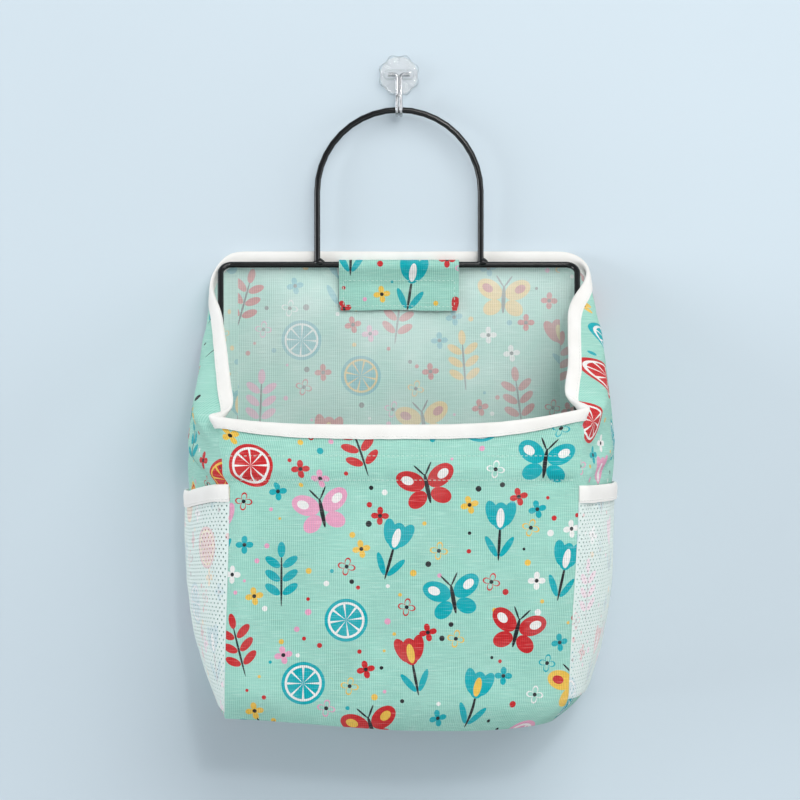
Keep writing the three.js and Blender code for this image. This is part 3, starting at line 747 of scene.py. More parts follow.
def front_surface(across, z):
    """Outer face of the front panel; across runs -1 to 1 between its seams."""
    base = sagging_base(across)
    rise = (z - base) / (rim_edge(across) - base)
    seam_x = front_seam_x(z, side_of(across))
    x = across * seam_x
    edge = seam_x - abs(x)
    roll = 1 - clamp(edge / ROLL_WIDTH)
    swell = FRONT_SWELL * math.sin(math.pi * clamp(rise * 1.25)) * (1 - across ** 4)
    over_bar = z - FRONT_BAR_Z
    free = ease(edge / (16 * MM)) * ease((z - base) / (20 * MM)) * (1 - bell(over_bar, 14 * MM))
    fold = 2.0 * ripple((x, z * 0.45, 0), 62 * MM, 2) + 0.75 * ripple((x, z * 0.8, 0), 24 * MM, 5)
    bar = 0.9 * bell(over_bar - 1 * MM, 6 * MM) - 0.4 * bell(over_bar + 8 * MM, 5 * MM)
    pucker = 0.3 * ripple((x, z * 3, 0), 7 * MM, 8) * (
        bell(over_bar - CASING_RISE, 5 * MM) + bell(over_bar + CASING_DROP, 5 * MM)
    )
    corner_bulge = bell(abs(x) - 98 * MM, 10 * MM) * (
        1.0 * bell(over_bar - 1 * MM, 5 * MM) - 2.0 * bell(over_bar + 6 * MM, 2.4 * MM)
    )
    rim_wave = 2.4 * ease(over_bar / (34 * MM)) * ripple((x, 0, 0), 44 * MM, 11)
    reach = ease(edge / (9 * MM))
    out = swell + (free * fold + reach * (bar + pucker + corner_bulge + rim_wave)) * MM
    return tucked(Vector((x, front_face_y(z) + FRONT_ROLL * roll * roll - out, z)), base)


def front_point(i, j):
    across = 2 * i / FRONT_COLUMNS - 1
    return front_surface(across, mix(sagging_base(across), rim_edge(across), j / ROWS))


def back_point(i, j):
    share, rise = 2 * i / BACK_COLUMNS - 1, j / ROWS
    base = sagging_base(share)
    z = mix(base, BACK_EDGE_Z, rise)
    x = share * PANEL_X
    free = ease((1 - abs(share)) * PANEL_X / (20 * MM)) * ease((z - base) / (24 * MM))
    free *= 1 - 0.75 * ease((z - BAR_Z + 26 * MM) / (20 * MM))
    fold = 1.5 * ripple((x, z * 0.35, 0), 46 * MM, 17) + 0.5 * ripple((x, z * 0.6, 0), 17 * MM, 21)
    slack = 2.2 * ease((BAR_Z - z) / (120 * MM)) + 1.0
    return tucked(Vector((x, BACK_Y - free * max(fold + slack - 1.0, -1.2) * MM, z)), base)


LEVEL_STEP = 2.5 * MM
LEVEL_START = BASE_Z - HEM_TILT - LEVEL_STEP
LEVEL_COUNT = int((BACK_EDGE_Z - LEVEL_START) / LEVEL_STEP) + 3
LEVELS = {
    side: [gusset_level(LEVEL_START + LEVEL_STEP * k, side, GUSSET_COLUMNS) for k in range(LEVEL_COUNT)]
    for side in (-1, 1)
}


def gusset_place(column, z, side):
    """A gusset without folds, on the right, at any column (a fraction is fine) and height."""
    k = clamp((z - LEVEL_START) / LEVEL_STEP, 0, LEVEL_COUNT - 1.001)
    i = clamp(column, 0, GUSSET_COLUMNS - 1e-6)
    low, high = LEVELS[side][int(k)], LEVELS[side][int(k) + 1]
    share, part = i - int(i), k - int(k)
    point = low[int(i)].lerp(low[int(i) + 1], share).lerp(high[int(i)].lerp(high[int(i) + 1], share), part)
    point.z = z
    return point


def depth_share(column, side):
    """0 at the wall and 1 at the front seam."""
    point = gusset_place(column, BAR_Z, side)
    return (BACK_Y - point.y) / (BACK_Y - front_face_y(BAR_Z) - FRONT_ROLL)


def gusset_base(column, side):
    return base_edge(side, abs(2 * column / GUSSET_COLUMNS - 1))


def gusset_top(column, side):
    depth = depth_share(column, side)
    rounding = ease(column / GUSSET_COLUMNS / 0.2) * (1 - ease((depth - 0.1) / 0.45))
    dip = BACK_CORNER_DROP[side] * rounding + FRONT_DIP[side] * bell(depth - 0.93, 0.05)
    return mix(BACK_EDGE_Z, rim_edge(side), depth) - dip


def edge_lean(column, side):
    """How far the gusset's free edge falls in over the mouth."""
    depth = depth_share(column, side)
    start = ease((depth - LEAN_START[side]) / (LEAN_FULL[side] - LEAN_START[side]))
    reach = mix(LEAN_BACK[side], LEAN_FRONT[side], depth)
    return reach * start * (1 - ease((depth - LEAN_END[side]) / (1 - LEAN_END[side])))


def lean_share(below):
    """1 at the edge, 0 at the lean's full height below it: straight at first, then curving out."""
    slope = 2 / (1 + LEAN_STRAIGHT)
    if below < LEAN_STRAIGHT:
        return 1 - slope * below
    return slope / (2 - 2 * LEAN_STRAIGHT) * (1 - clamp(below)) ** 2


def gusset_surface(column, z, side):
    """Outer face of the right (side 1) or left (side -1) gusset."""
    base, top = gusset_base(column, side), gusset_top(column, side)
    point = gusset_place(column, z, side)
    along = column / GUSSET_COLUMNS
    free = ease(along / 0.16) * ease((1 - along) / 0.16)
    seed = 31 + 6 * side
    lean = edge_lean(column, side) * lean_share((top - z) / LEAN_HEIGHT)
    length = along * 120 * MM
    fold = 2.6 * ripple((length, z * 0.4, 0), 34 * MM, seed)
    fold += 0.8 * ripple((length, z * 0.7, 0), 14 * MM, seed + 1)
    under_corner = bell(along - 0.93, 0.11) * bell(z - FRONT_BAR_Z + 2 * MM, 9 * MM)
    under_corner *= ease((1 - along) / 0.05)
    crease_z = FRONT_BAR_Z + mix(14 * MM, -2 * MM, (along - 0.4) / 0.55)
    crease = 3.4 * bell(z - crease_z - 6 * MM, 7 * MM) - 3.2 * bell(z - crease_z + 4 * MM, 4.5 * MM)
    crease *= bell(along - 0.72, 0.24) * (0.9 if side < 0 else 0.5)
    out = free * (fold * ease((z - base) / (26 * MM)) + crease) + 1.8 * under_corner
    point.x += out * MM - lean
    point.x *= side
    return tucked(point, base)


def gusset_point(i, j, side):
    return gusset_surface(i, mix(gusset_base(i, side), gusset_top(i, side), j / ROWS), side)


def grid_of(columns, rule):
    return [[rule(i, j) for i in range(columns + 1)] for j in range(ROWS + 1)]


front_grid = grid_of(FRONT_COLUMNS, front_point)
back_grid = grid_of(BACK_COLUMNS, back_point)
right_grid = grid_of(GUSSET_COLUMNS, lambda i, j: gusset_point(i, j, 1))
left_grid = grid_of(GUSSET_COLUMNS, lambda i, j: gusset_point(i, j, -1))


def around(row):
    """One level of the bag, once round: front, right gusset, back, left gusset; corners once each."""
    loop = front_grid[row][:-1] + right_grid[row][:0:-1]
    return loop + back_grid[row][:0:-1] + left_grid[row][:-1]


def round_the_mouth():
    """Round the mouth's corners and flatten the cloth under its tape; gives the tape's up directions."""
    edge = around(ROWS)
    moves = [after - before for before, after in zip(edge, smoothed(edge, True, CORNER_PASSES))]
    right_end = FRONT_COLUMNS + GUSSET_COLUMNS
    back_end = right_end + BACK_COLUMNS
    walls = (
        (front_grid, lambda column: column),
        (right_grid, lambda column: right_end - column),
        (back_grid, lambda column: back_end - column),
        (left_grid, lambda column: back_end + column),
    )
    for grid, index in walls:
        for row in range(ROWS - MOUTH_ROWS, ROWS + 1):
            share = ease((row - ROWS + MOUTH_ROWS) / MOUTH_ROWS)
            grid[row] = [p + moves[index(i) % len(moves)] * share for i, p in enumerate(grid[row])]
    ups = [(a - b).normalized() for a, b in zip(around(ROWS), around(ROWS - 4))]
    ups = [up.normalized() for up in smoothed(ups, True, CORNER_PASSES)]
    for grid, index in walls:
        for i, top in enumerate(grid[ROWS]):
            column = [row[i] for row in grid]
            below = 0.0
            for row in range(ROWS - 1, ROWS - MOUTH_ROWS, -1):
                below += (column[row + 1] - column[row]).length
                share = 1 - ease((below - TAPE_HEIGHT) / (0.6 * TAPE_HEIGHT))
                grid[row][i] = column[row].lerp(top - ups[index(i) % len(ups)] * below, share)
    return ups


mouth_ups = round_the_mouth()


# Objects
def only(obj):
    bpy.ops.object.select_all(action="DESELECT")
    obj.select_set(True)
    bpy.context.view_layer.objects.active = obj


def finish_with(obj, kind, **settings):
    """Add a modifier and apply it."""
    only(obj)
    modifier = obj.modifiers.new(kind.lower(), kind)
    for key, value in settings.items():
        setattr(modifier, key, value)
    bpy.ops.object.modifier_apply(modifier=modifier.name)


def mesh_object(name, points, faces, *materials):
    mesh = bpy.data.meshes.new(name)
    mesh.from_pydata([tuple(p) for p in points], [], faces)
    obj = bpy.data.objects.new(name, mesh)
    bpy.context.collection.objects.link(obj)
    for material in materials:
        mesh.materials.append(material)
    return obj


def lay_flat(obj, flat):
    """Give each corner of the mesh its place on the uncut cloth."""
    layer = obj.data.uv_layers.new(name="cloth")
    for loop in obj.data.loops:
        layer.data[loop.index].uv = flat[loop.vertex_index]


def grid_faces(rows, columns, flip, wrap=False):
    """Quads of a grid of rows by columns points; wrap closes each row on itself."""
    faces = []
    for j in range(rows - 1):
        for i in range(columns if wrap else columns - 1):
            k = (i + 1) % columns
            face = (j * columns + i, j * columns + k, (j + 1) * columns + k, (j + 1) * columns + i)
            faces.append(face[::-1] if flip else face)
    return faces


def smooth(obj, angle=50.0):
    only(obj)
    bpy.ops.object.shade_smooth_by_angle(angle=math.radians(angle))


def thicken(obj, thickness):
    """Cloth whose second material is its inner face."""
    finish_with(
        obj, "SOLIDIFY", thickness=thickness, offset=-1.0, use_even_offset=False,
        material_offset=1, material_offset_rim=0,
    )


def cloth(name, grid, flip, corner, thickness, outside, inside):
    """A sheet of cloth from a grid of points; its flat coordinates follow the lengths of the grid."""
    middle = grid[len(grid) // 2]
    along = running_lengths(middle)
    points = [p for row in grid for p in row]
    flat = [(corner[0] + x, corner[1] + (p.z - BASE_Z)) for row in grid for x, p in zip(along, row)]
    obj = mesh_object(name, points, grid_faces(len(grid), len(middle), flip), outside, inside)
    lay_flat(obj, flat)
    thicken(obj, thickness)
    smooth(obj)
    return obj


def face_outwards():
    """Turn the faces of the mesh that is in edit mode outwards, and leave that mode."""
    bpy.ops.mesh.select_all(action="SELECT")
    bpy.ops.mesh.normals_make_consistent(inside=False)
    bpy.ops.object.mode_set(mode="OBJECT")


def settled():
    """The solid just added, with its place, turn and size taken up into its mesh."""
    bpy.ops.object.transform_apply(location=True, rotation=True, scale=True)
    return bpy.context.object


def named(obj, name, material):
    obj.name = name
    obj.data.materials.clear()
    obj.data.materials.append(material)
    return obj


def keep_piece(obj, body, slot, *nodes):
    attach(obj, body)
    if nodes:
        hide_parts(*nodes)
    return obj


# Walls and bottom
front_panel = cloth("front_panel_cloth", front_grid, False, (0.02, 0.03), CLOTH, COTTON, INSIDE)
back_panel = cloth("back_panel_cloth", back_grid, True, (0.61, 0.01), CLOTH, COTTON, INSIDE)
GUSSET_CORNER = {1: (0.31, 0.02), -1: (0.93, 0.05)}  # where the gussets are cut from the cloth
right_gusset = cloth("right_gusset_cloth", right_grid, True, GUSSET_CORNER[1], CLOTH, COTTON, INSIDE)
left_gusset = cloth("left_gusset_cloth", left_grid, False, GUSSET_CORNER[-1], CLOTH, COTTON, INSIDE)


def bottom_cloth():
    """Bottom panel: rings from the walls' lower edge in to the middle, sagging a little."""
    edge = around(0)
    centre = Vector((0, MIDDLE_Y, BASE_Z))
    points = []
    for k in range(BOTTOM_RINGS):
        share = 1 - k / BOTTOM_RINGS
        for p in edge:
            here = centre.lerp(p, share)
            sag = BOTTOM_SAG * (1 - share ** 4) + 0.8 * (1 - share) * ripple(here, 40 * MM, 51)
            points.append(Vector((here.x, here.y, mix(BASE_Z, p.z, share ** 3) - sag * MM)))
    count = len(edge)
    faces = grid_faces(BOTTOM_RINGS, count, False, wrap=True)
    points.append(centre - Vector((0, 0, BOTTOM_SAG * MM)))
    inner = (BOTTOM_RINGS - 1) * count
    faces += [(inner + i, inner + (i + 1) % count, len(points) - 1) for i in range(count)]
    faces = [face[::-1] for face in faces]
    obj = mesh_object("bottom_cloth", points, faces, COTTON, INSIDE)
    lay_flat(obj, [(1.3 + p.x, 0.2 + p.y) for p in points])
    thicken(obj, CLOTH)
    smooth(obj)
    return obj


bottom_panel = bottom_cloth()
for panel, node in (
    (front_panel, "front_panel"),
    (back_panel, "back_panel"),
    (right_gusset, "right_gusset"),
    (left_gusset, "left_gusset"),
    (bottom_panel, "bottom_panel"),
):
    keep_piece(panel, "bag", "printed_cotton", node)


# Tapes and stitches
STITCH_PITCH = 2.9 * MM
STITCH_LENGTH = 2.1 * MM
STITCH_RADIUS = 0.21 * MM
STITCH_SIDES = 6
MOUTH_LEAF_GAP = 1.1  # between the two leaves of a tape, millimetres
BAND_LEAF_GAP = 0.7
SEW_LINE = 1.5 * MM  # stitches above the tape's lower edge, and out from its leaf
SEW_AWAY = 0.2 * MM


def directions(path, ups, closed):
    """Outward direction at each point of an edge, square to the edge and to its up direction."""
    count = len(path)
    outs = []
    for i in range(count):
        before = path[i - 1] if closed or i else path[0]
        after = path[(i + 1) % count] if closed else path[min(i + 1, count - 1)]
        outs.append((after - before).cross(ups[i]).normalized())
    return outs


def folded_tape(name, path, ups, height, closed, seed, leaf_gap, pinch=0.0):
    """A tape folded over an edge: one leaf outside, one inside, sewn through near their lower edges."""
    outs = directions(path, ups, closed)
    lengths = running_lengths(path)
    half = leaf_gap / 2
    profile = [
        (half + 0.10, -1.0, 0.0), (half + 0.16, -0.86, 0.1), (half + 0.34, -0.62, 0.6),
        (half + 0.46, -0.36, 1.0), (half + 0.38, -0.14, 1.0), (half * 0.86 + 0.2, 0.01, 0.7),
        (half * 0.3, 0.07, 0.4), (-half * 0.3, 0.07, 0.4),
        (-half * 0.86 - 0.2, 0.01, 0.7), (-half - 0.38, -0.14, 1.0), (-half - 0.46, -0.36, 1.0),
        (-half - 0.34, -0.62, 0.6), (-half - 0.16, -0.86, 0.1), (-half - 0.10, -1.0, 0.0),
    ]
    across = [0.0]
    for a, b in zip(profile, profile[1:]):
        across.append(across[-1] + math.hypot((b[0] - a[0]) * MM, (b[1] - a[1]) * height))
    points, flat = [], []
    for i, place in enumerate(path):
        from_end = min(lengths[i], lengths[-1] - lengths[i])
        open_share = mix(0.2, 1.0, ease(from_end / pinch)) if pinch else 1.0
        for k, (away, rise, loose) in enumerate(profile):
            puff = 0.3 * loose * ripple((lengths[i], rise * height, k // 7), 6 * MM, seed)
            hem = 0.35 * (1 - loose) * ripple((lengths[i], 0, k // 7), 11 * MM, seed + 3)
            shift = (away + math.copysign(puff, away)) * open_share
            points.append(place + outs[i] * (shift * MM) + ups[i] * (rise * height + hem * MM))
            flat.append((across[k], lengths[i]))
    rows, columns = len(path), len(profile)
    faces = grid_faces(rows, columns, True)
    if closed:
        last = (rows - 1) * columns
        faces += [(k, k + 1, last + k + 1, last + k) for k in range(columns - 1)]
    obj = mesh_object(name, points, faces, TAPE)
    lay_flat(obj, flat)
    finish_with(obj, "SOLIDIFY", thickness=TAPE_CLOTH, offset=1.0, use_even_offset=False)
    smooth(obj, 65)
    return obj, outs


def stitch_row(name, lines, material, body, slot):
    """Short raised stitches along lines of (point, outward direction)."""
    points, faces = [], []
    rings = ((-0.36, 0.85), (0.0, 1.0), (0.36, 0.85))
    for line in lines:
        places = [p for p, _ in line]
        total = length_of(places)
        count = max(1, int(total / STITCH_PITCH))
        walked, k = 0.0, 0
        for n in range(count):
            want = (n + 0.5) * total / count
            while k < len(places) - 2 and walked + (places[k + 1] - places[k]).length < want:
                walked += (places[k + 1] - places[k]).length
                k += 1
            run = places[k + 1] - places[k]
            share = clamp((want - walked) / max(run.length, 1e-9))
            centre = places[k].lerp(places[k + 1], share)
            out = line[k][1].lerp(line[k + 1][1], share).normalized()
            along = (run - out * run.dot(out)).normalized()
            side = along.cross(out)
            start = len(points)
            points.append(centre - along * (STITCH_LENGTH / 2) - out * (STITCH_RADIUS * 0.8))
            for offset, size in rings:
                middle = centre + along * (STITCH_LENGTH * offset)
                middle += out * (STITCH_RADIUS * (size - 0.75) * 2)
                for s in range(STITCH_SIDES):
                    turn = 2 * math.pi * s / STITCH_SIDES
                    spoke = side * math.cos(turn) + out * math.sin(turn)
                    points.append(middle + spoke * (STITCH_RADIUS * size))
            points.append(centre + along * (STITCH_LENGTH / 2) - out * (STITCH_RADIUS * 0.8))
            end = len(points) - 1
            for s in range(STITCH_SIDES):
                t = (s + 1) % STITCH_SIDES
                faces.append((start, start + 1 + s, start + 1 + t))
                for r in range(len(rings) - 1):
                    low = start + 1 + r * STITCH_SIDES
                    faces.append((low + s, low + STITCH_SIDES + s, low + STITCH_SIDES + t, low + t))
                top = end - STITCH_SIDES
                faces.append((end, top + t, top + s))
    obj = mesh_object(name, points, faces, material)
    only(obj)
    bpy.ops.object.mode_set(mode="EDIT")
    face_outwards()
    smooth(obj, 80)
    return keep_piece(obj, body, slot)


mouth_path = around(ROWS)
mouth_binding, mouth_outs = folded_tape(
    "mouth_binding_tape", mouth_path, mouth_ups, TAPE_HEIGHT, True, 61, MOUTH_LEAF_GAP
)
keep_piece(mouth_binding, "bag", "white_tape", "mouth_binding")


def tape_stitches(path, ups, outs, height, leaf_gap, closed):
    away = leaf_gap / 2 * MM + SEW_AWAY + TAPE_CLOTH
    lines = []
    for side in (1, -1):
        line = [
            (p + up * (SEW_LINE - height) + out * (side * away), out * side)
            for p, up, out in zip(path, ups, outs)
        ]
        lines.append(line + line[:1] if closed else line)
    return lines


stitch_row(
    "mouth_binding_stitches",
    tape_stitches(mouth_path, mouth_ups, mouth_outs, TAPE_HEIGHT, MOUTH_LEAF_GAP, True),
    THREAD, "bag", "white_tape",
)

# Mesh pockets
POCKET_TOP_Z = band_high.z
POCKET_START = 0.13  # share of the gusset's width, from the back seam
POCKET_SLACK = 1.8 * MM
BAND_HEIGHT = 9.6 * MM
HOLE_PITCH = 4.2 * MM
HOLE_ROW = 2.5 * MM
HOLE_RADIUS = 0.66 * MM
MESH_THICKNESS = 0.22 * MM
POCKET_RAISED = {-1: 4.0 * MM, 1: 15.0 * MM}  # mesh's lower edge above the gusset's
BAND_DIP = 4.0 * MM  # left band below the right one, and rising again to the front seam
BAND_LIFT = 1.5 * MM


def pocket_top(share, side):
    dip = -BAND_DIP + 1.6 * BAND_DIP * ease((share - 0.4) / 0.6)
    return POCKET_TOP_Z + (BAND_LIFT if side > 0 else dip)


def pocket_place(share, z, side, away):
    """Point of a pocket, away from the gusset's face, and its outward direction."""
    column = GUSSET_COLUMNS * mix(POCKET_START, 1.0, share)
    step = 0.6
    after = gusset_surface(min(column + step, GUSSET_COLUMNS), z, side)
    run = after - gusset_surface(column - step, z, side)
    out = Vector((-run.y, run.x, 0)).normalized() * side
    rise = clamp((z - BASE_Z) / (POCKET_TOP_Z - BASE_Z))
    slack = POCKET_SLACK * math.sin(math.pi * share) ** 0.6 * rise
    sewn = mix(0.15, 1.0, ease(min(share, 1 - share) / 0.06))
    return gusset_surface(column, z, side) + out * (away * sewn + slack), out


def pocket_base(share, side):
    return gusset_base(GUSSET_COLUMNS * mix(POCKET_START, 1.0, share), side) + POCKET_RAISED[side]


def pocket_mesh(side, name):
    """Knitted mesh with rows of holes, each row half a pitch along from the one below."""
    level = [pocket_place(i / 30, POCKET_TOP_Z, side, 0)[0] for i in range(31)]
    width = length_of(level)
    height = POCKET_TOP_Z - BASE_Z
    columns, rows = round(width / HOLE_PITCH), round(height / HOLE_ROW)
    gusset_width = length_of((right_grid if side > 0 else left_grid)[ROWS // 2])
    cut = GUSSET_CORNER[side]
    points, flat, known = [], [], {}

    def corner(column, row):
        key = (round(column * 1000), round(row * 1000))
        if key not in known:
            share = clamp(column / columns)
            z = mix(pocket_base(share, side), pocket_top(share, side) - 2.0 * MM, row / rows)
            known[key] = len(points)
            points.append(pocket_place(share, z, side, 0.6 * MM)[0])
            flat.append((cut[0] + mix(POCKET_START, 1.0, share) * gusset_width, cut[1] + z - BASE_Z))
        return known[key]

    faces = []
    rim = [(-0.5, -0.5), (0, -0.5), (0.5, -0.5), (0.5, 0), (0.5, 0.5), (0, 0.5), (-0.5, 0.5), (-0.5, 0)]
    reach = (HOLE_RADIUS / HOLE_PITCH, HOLE_RADIUS / HOLE_ROW)
    for row in range(rows):
        shift = 0.5 * (row % 2)
        middle = row + 0.5
        for n in range(columns - row % 2):
            centre = n + 0.5 + shift
            outer = [corner(centre + x, middle + y) for x, y in rim]
            inner = []
            for x, y in rim:
                angle = math.atan2(y * HOLE_ROW, x * HOLE_PITCH)
                hole = (centre + reach[0] * math.cos(angle), middle + reach[1] * math.sin(angle))
                inner.append(corner(*hole))
            for k in range(len(rim)):
                m = (k + 1) % len(rim)
                faces.append((outer[k], outer[m], inner[m], inner[k]))
        if row % 2:
            for start in (0, columns - 0.5):
                cell = [(0, 0), (0.5, 0), (0.5, 0.5), (0.5, 1), (0, 1), (0, 0.5)]
                faces.append(tuple(corner(start + x, row + y) for x, y in cell))
    if side > 0:
        faces = [face[::-1] for face in faces]
    obj = mesh_object(name, points, faces, MESH)
    lay_flat(obj, flat)
    finish_with(obj, "SOLIDIFY", thickness=MESH_THICKNESS, offset=1.0, use_even_offset=False)
    smooth(obj, 60)
    return obj, width, height


for side, word in SIDES:
    pocket, pocket_width, pocket_height = pocket_mesh(side, f"mesh_pocket_{word}_knit")
    keep_piece(pocket, "bag", "white_mesh", f"mesh_pocket_{word}")
    steps = 56
    shares = [i / steps for i in range(steps + 1)]
    edge = [pocket_place(s, pocket_top(s, side) - 0.8 * MM, side, 1.0 * MM)[0] for s in shares]
    if side > 0:
        edge.reverse()
    band_path = smoothed(edge, False, 2)
    band_ups = [UP] * len(band_path)
    band, band_outs = folded_tape(
        f"pocket_band_{word}_tape", band_path, band_ups, BAND_HEIGHT, False, 71 + side, BAND_LEAF_GAP, 5 * MM
    )
    keep_piece(band, "bag", "white_tape", f"pocket_band_{word}")
    rows = tape_stitches(band_path, band_ups, band_outs, BAND_HEIGHT, BAND_LEAF_GAP, False)
    stitch_row(f"pocket_band_{word}_stitches", rows[:1], THREAD, "bag", "white_tape")


# Tab over the back bar
TAB_X = tab_high.x
TAB_CLOTH = 0.8 * MM
TAB_FLAT_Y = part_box("hook_tape")[0].y - 0.25 * MM - TAB_CLOTH
TAB_END_Z = tab_low.z
TAB_ROOT_Y = tab_high.y
TAB_RADIUS = WIRE_RADIUS + 0.5 * MM + TAB_CLOTH


def tab_line():
    """Section of the tab: over the back bar, down its front and back to the fastener."""
    line = [Vector((0, TAB_ROOT_Y, BAR_Z + TAB_RADIUS))]
    for i in range(13):
        turn = math.pi / 2 * i / 12
        line.append(Vector((0, BAR_Y - TAB_RADIUS * math.sin(turn), BAR_Z + TAB_RADIUS * math.cos(turn))))
    line.append(Vector((0, BAR_Y - TAB_RADIUS, BAR_Z - WIRE_RADIUS)))
    line.append(Vector((0, mix(BAR_Y - TAB_RADIUS, TAB_FLAT_Y, 0.55), BAR_Z - 7 * MM)))
    line.append(Vector((0, TAB_FLAT_Y, BAR_Z - 13 * MM)))
    line.append(Vector((0, TAB_FLAT_Y, TAB_END_Z)))
    return smoothed(spaced(line, 44), False, 3)


def tab_cloth():
    line = tab_line()
    columns = 46
    grid = []
    for k, place in enumerate(line):
        row = []
        for i in range(columns + 1):
            share = 2 * i / columns - 1
            fall = k / (len(line) - 1)
            edge = (1 - abs(share)) * TAB_X
            lift = 0.5 * ease((fall - 0.35) / 0.3) * ripple((share * TAB_X, fall * 30 * MM, 0), 15 * MM, 81)
            lift += 0.9 * ease((fall - 0.8) / 0.2) * ease(1 - edge / (9 * MM))
            corner = 1.2 * MM * ease((fall - 0.86) / 0.14) * ease(1 - edge / (7 * MM))
            x = share * (TAB_X - corner)
            droop = 1.0 * MM * ease((fall - 0.5) / 0.5) * ripple((x, 0, 0), 30 * MM, 83)
            row.append(Vector((x, place.y - max(lift, -0.15) * MM, place.z + droop)))
        grid.append(row)
    obj = cloth("bar_tab_cloth", grid, True, (1.71, 0.0), TAB_CLOTH, COTTON, COTTON)
    return obj, grid


bar_tab, tab_grid = tab_cloth()
keep_piece(bar_tab, "tab", "printed_cotton", "bar_tab")


def tab_point(across, down):
    """Point on the tab's outer face and its outward direction; across is -1 to 1, down is 0 to 1."""
    k = down * (len(tab_grid) - 1)
    i = (across + 1) / 2 * (len(tab_grid[0]) - 1)
    j, n = min(int(k), len(tab_grid) - 2), min(int(i), len(tab_grid[0]) - 2)
    top = tab_grid[j][n].lerp(tab_grid[j][n + 1], i - n)
    low = tab_grid[j + 1][n].lerp(tab_grid[j + 1][n + 1], i - n)
    down_line = low - top
    out = Vector((0, down_line.z, -down_line.y)).normalized()
    return top.lerp(low, k - j), out


TAB_SEAM = 0.93  # stitch lines, as a share of the tab's half width and of its length
TAB_UPPER_SEAM = 0.50
tab_rows = [
    [tab_point(mix(-TAB_SEAM, TAB_SEAM, i / 30), TAB_UPPER_SEAM) for i in range(31)],
    [tab_point(mix(-TAB_SEAM, TAB_SEAM, i / 30), TAB_SEAM) for i in range(31)],
]
for edge in (-TAB_SEAM, TAB_SEAM):
    tab_rows.append([tab_point(edge, mix(TAB_UPPER_SEAM, TAB_SEAM, i / 12)) for i in range(13)])
stitch_row("bar_tab_stitches", tab_rows, MINT_THREAD, "tab", "printed_cotton")


# Casing inside the front panel
def casing_cloth():
    columns, rows = 72, 36
    low, high = -7.0 * MM, 12.0 * MM
    tunnel = 6.2 * MM
    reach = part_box("bar_casing")[1].x
    grid = []
    for j in range(rows + 1):
        away = mix(low, high, j / rows)
        round_bar = (1 + math.cos(math.pi * away / tunnel)) / 2 if abs(away) < tunnel else 0.0
        row = []
        for i in range(columns + 1):
            x = mix(-reach, reach, i / columns)
            wave = 0.25 * MM * (1 + ripple((x, away, 0), 16 * MM, 91))
            z = FRONT_BAR_Z + away
            panel_y = front_surface(x / front_seam_x(z, side_of(x)), z).y + CLOTH + 0.12 * MM
            y = mix(panel_y, FRONT_BAR_Y + WIRE_RADIUS + 0.9 * MM, round_bar) + wave * round_bar
            row.append(Vector((x, y, z)))
        grid.append(row)
    return cloth("bar_casing_cloth", grid, True, (1.9, 0.0), 0.5 * MM, INSIDE, INSIDE)


bar_casing = casing_cloth()
keep_piece(bar_casing, "bag", "printed_cotton", "bar_casing")


def front_line(z, low, high):
    """Stitch line across the front panel at one height."""
    line = []
    for i in range(FRONT_COLUMNS + 1):
        column = [front_grid[j][i] for j in range(ROWS + 1)]
        k = next(j for j in range(ROWS + 1) if column[j].z >= z)
        share = (z - column[k - 1].z) / (column[k].z - column[k - 1].z)
        place = column[k - 1].lerp(column[k], share)
        if low < place.x < high:
            line.append((place, TO_ROOM))
    return line


SEAM_REACH = SEAM_AT_BAR[-1] - 1 * MM
stitch_row(
    "bar_casing_stitches",
    [
        front_line(FRONT_BAR_Z + CASING_RISE, -SEAM_REACH, SEAM_REACH),
        front_line(FRONT_BAR_Z - CASING_DROP, -SEAM_REACH, SEAM_REACH),
    ],
    MINT_THREAD, "bag", "printed_cotton",
)


# Wires: a ring drawn out along straight runs and turned round each bend
WIRE_SIDES = 18
BEND_STEP = math.radians(9)


def bent_wire(name, start, heading, radius, runs, material, closed=False):
    """Round wire; each run is a straight length, then a bend: its radius, angle and side."""
    bpy.ops.object.select_all(action="DESELECT")
    turn = heading.to_track_quat("Z", "Y").to_euler()
    bpy.ops.mesh.primitive_circle_add(vertices=WIRE_SIDES, radius=radius, location=start, rotation=turn)
    obj = settled()
    bpy.ops.object.mode_set(mode="EDIT")
    bpy.ops.mesh.select_all(action="SELECT")
    here, heading = Vector(start), heading.normalized()
    for length, bend, angle, toward in runs:
        bpy.ops.mesh.extrude_region_move(TRANSFORM_OT_translate={"value": heading * length})
        here = here + heading * length
        if angle:
            centre = here + toward * bend
            steps = max(4, math.ceil(angle / BEND_STEP))
            bpy.ops.mesh.spin(steps=steps, angle=angle, center=centre, axis=toward.cross(heading))
            turned = Matrix.Rotation(angle, 3, heading.cross(toward))
            here = centre + turned @ (here - centre)
            heading = turned @ heading
    bpy.ops.mesh.select_all(action="SELECT")
    bpy.ops.mesh.remove_doubles(threshold=0.02 * MM)
    if not closed:
        bpy.ops.mesh.select_all(action="SELECT")
        bpy.ops.mesh.fill_holes(sides=WIRE_SIDES)
    face_outwards()
    smooth(obj, 40)
    return named(obj, name, material)


LOOP_BEND = 7.0 * MM


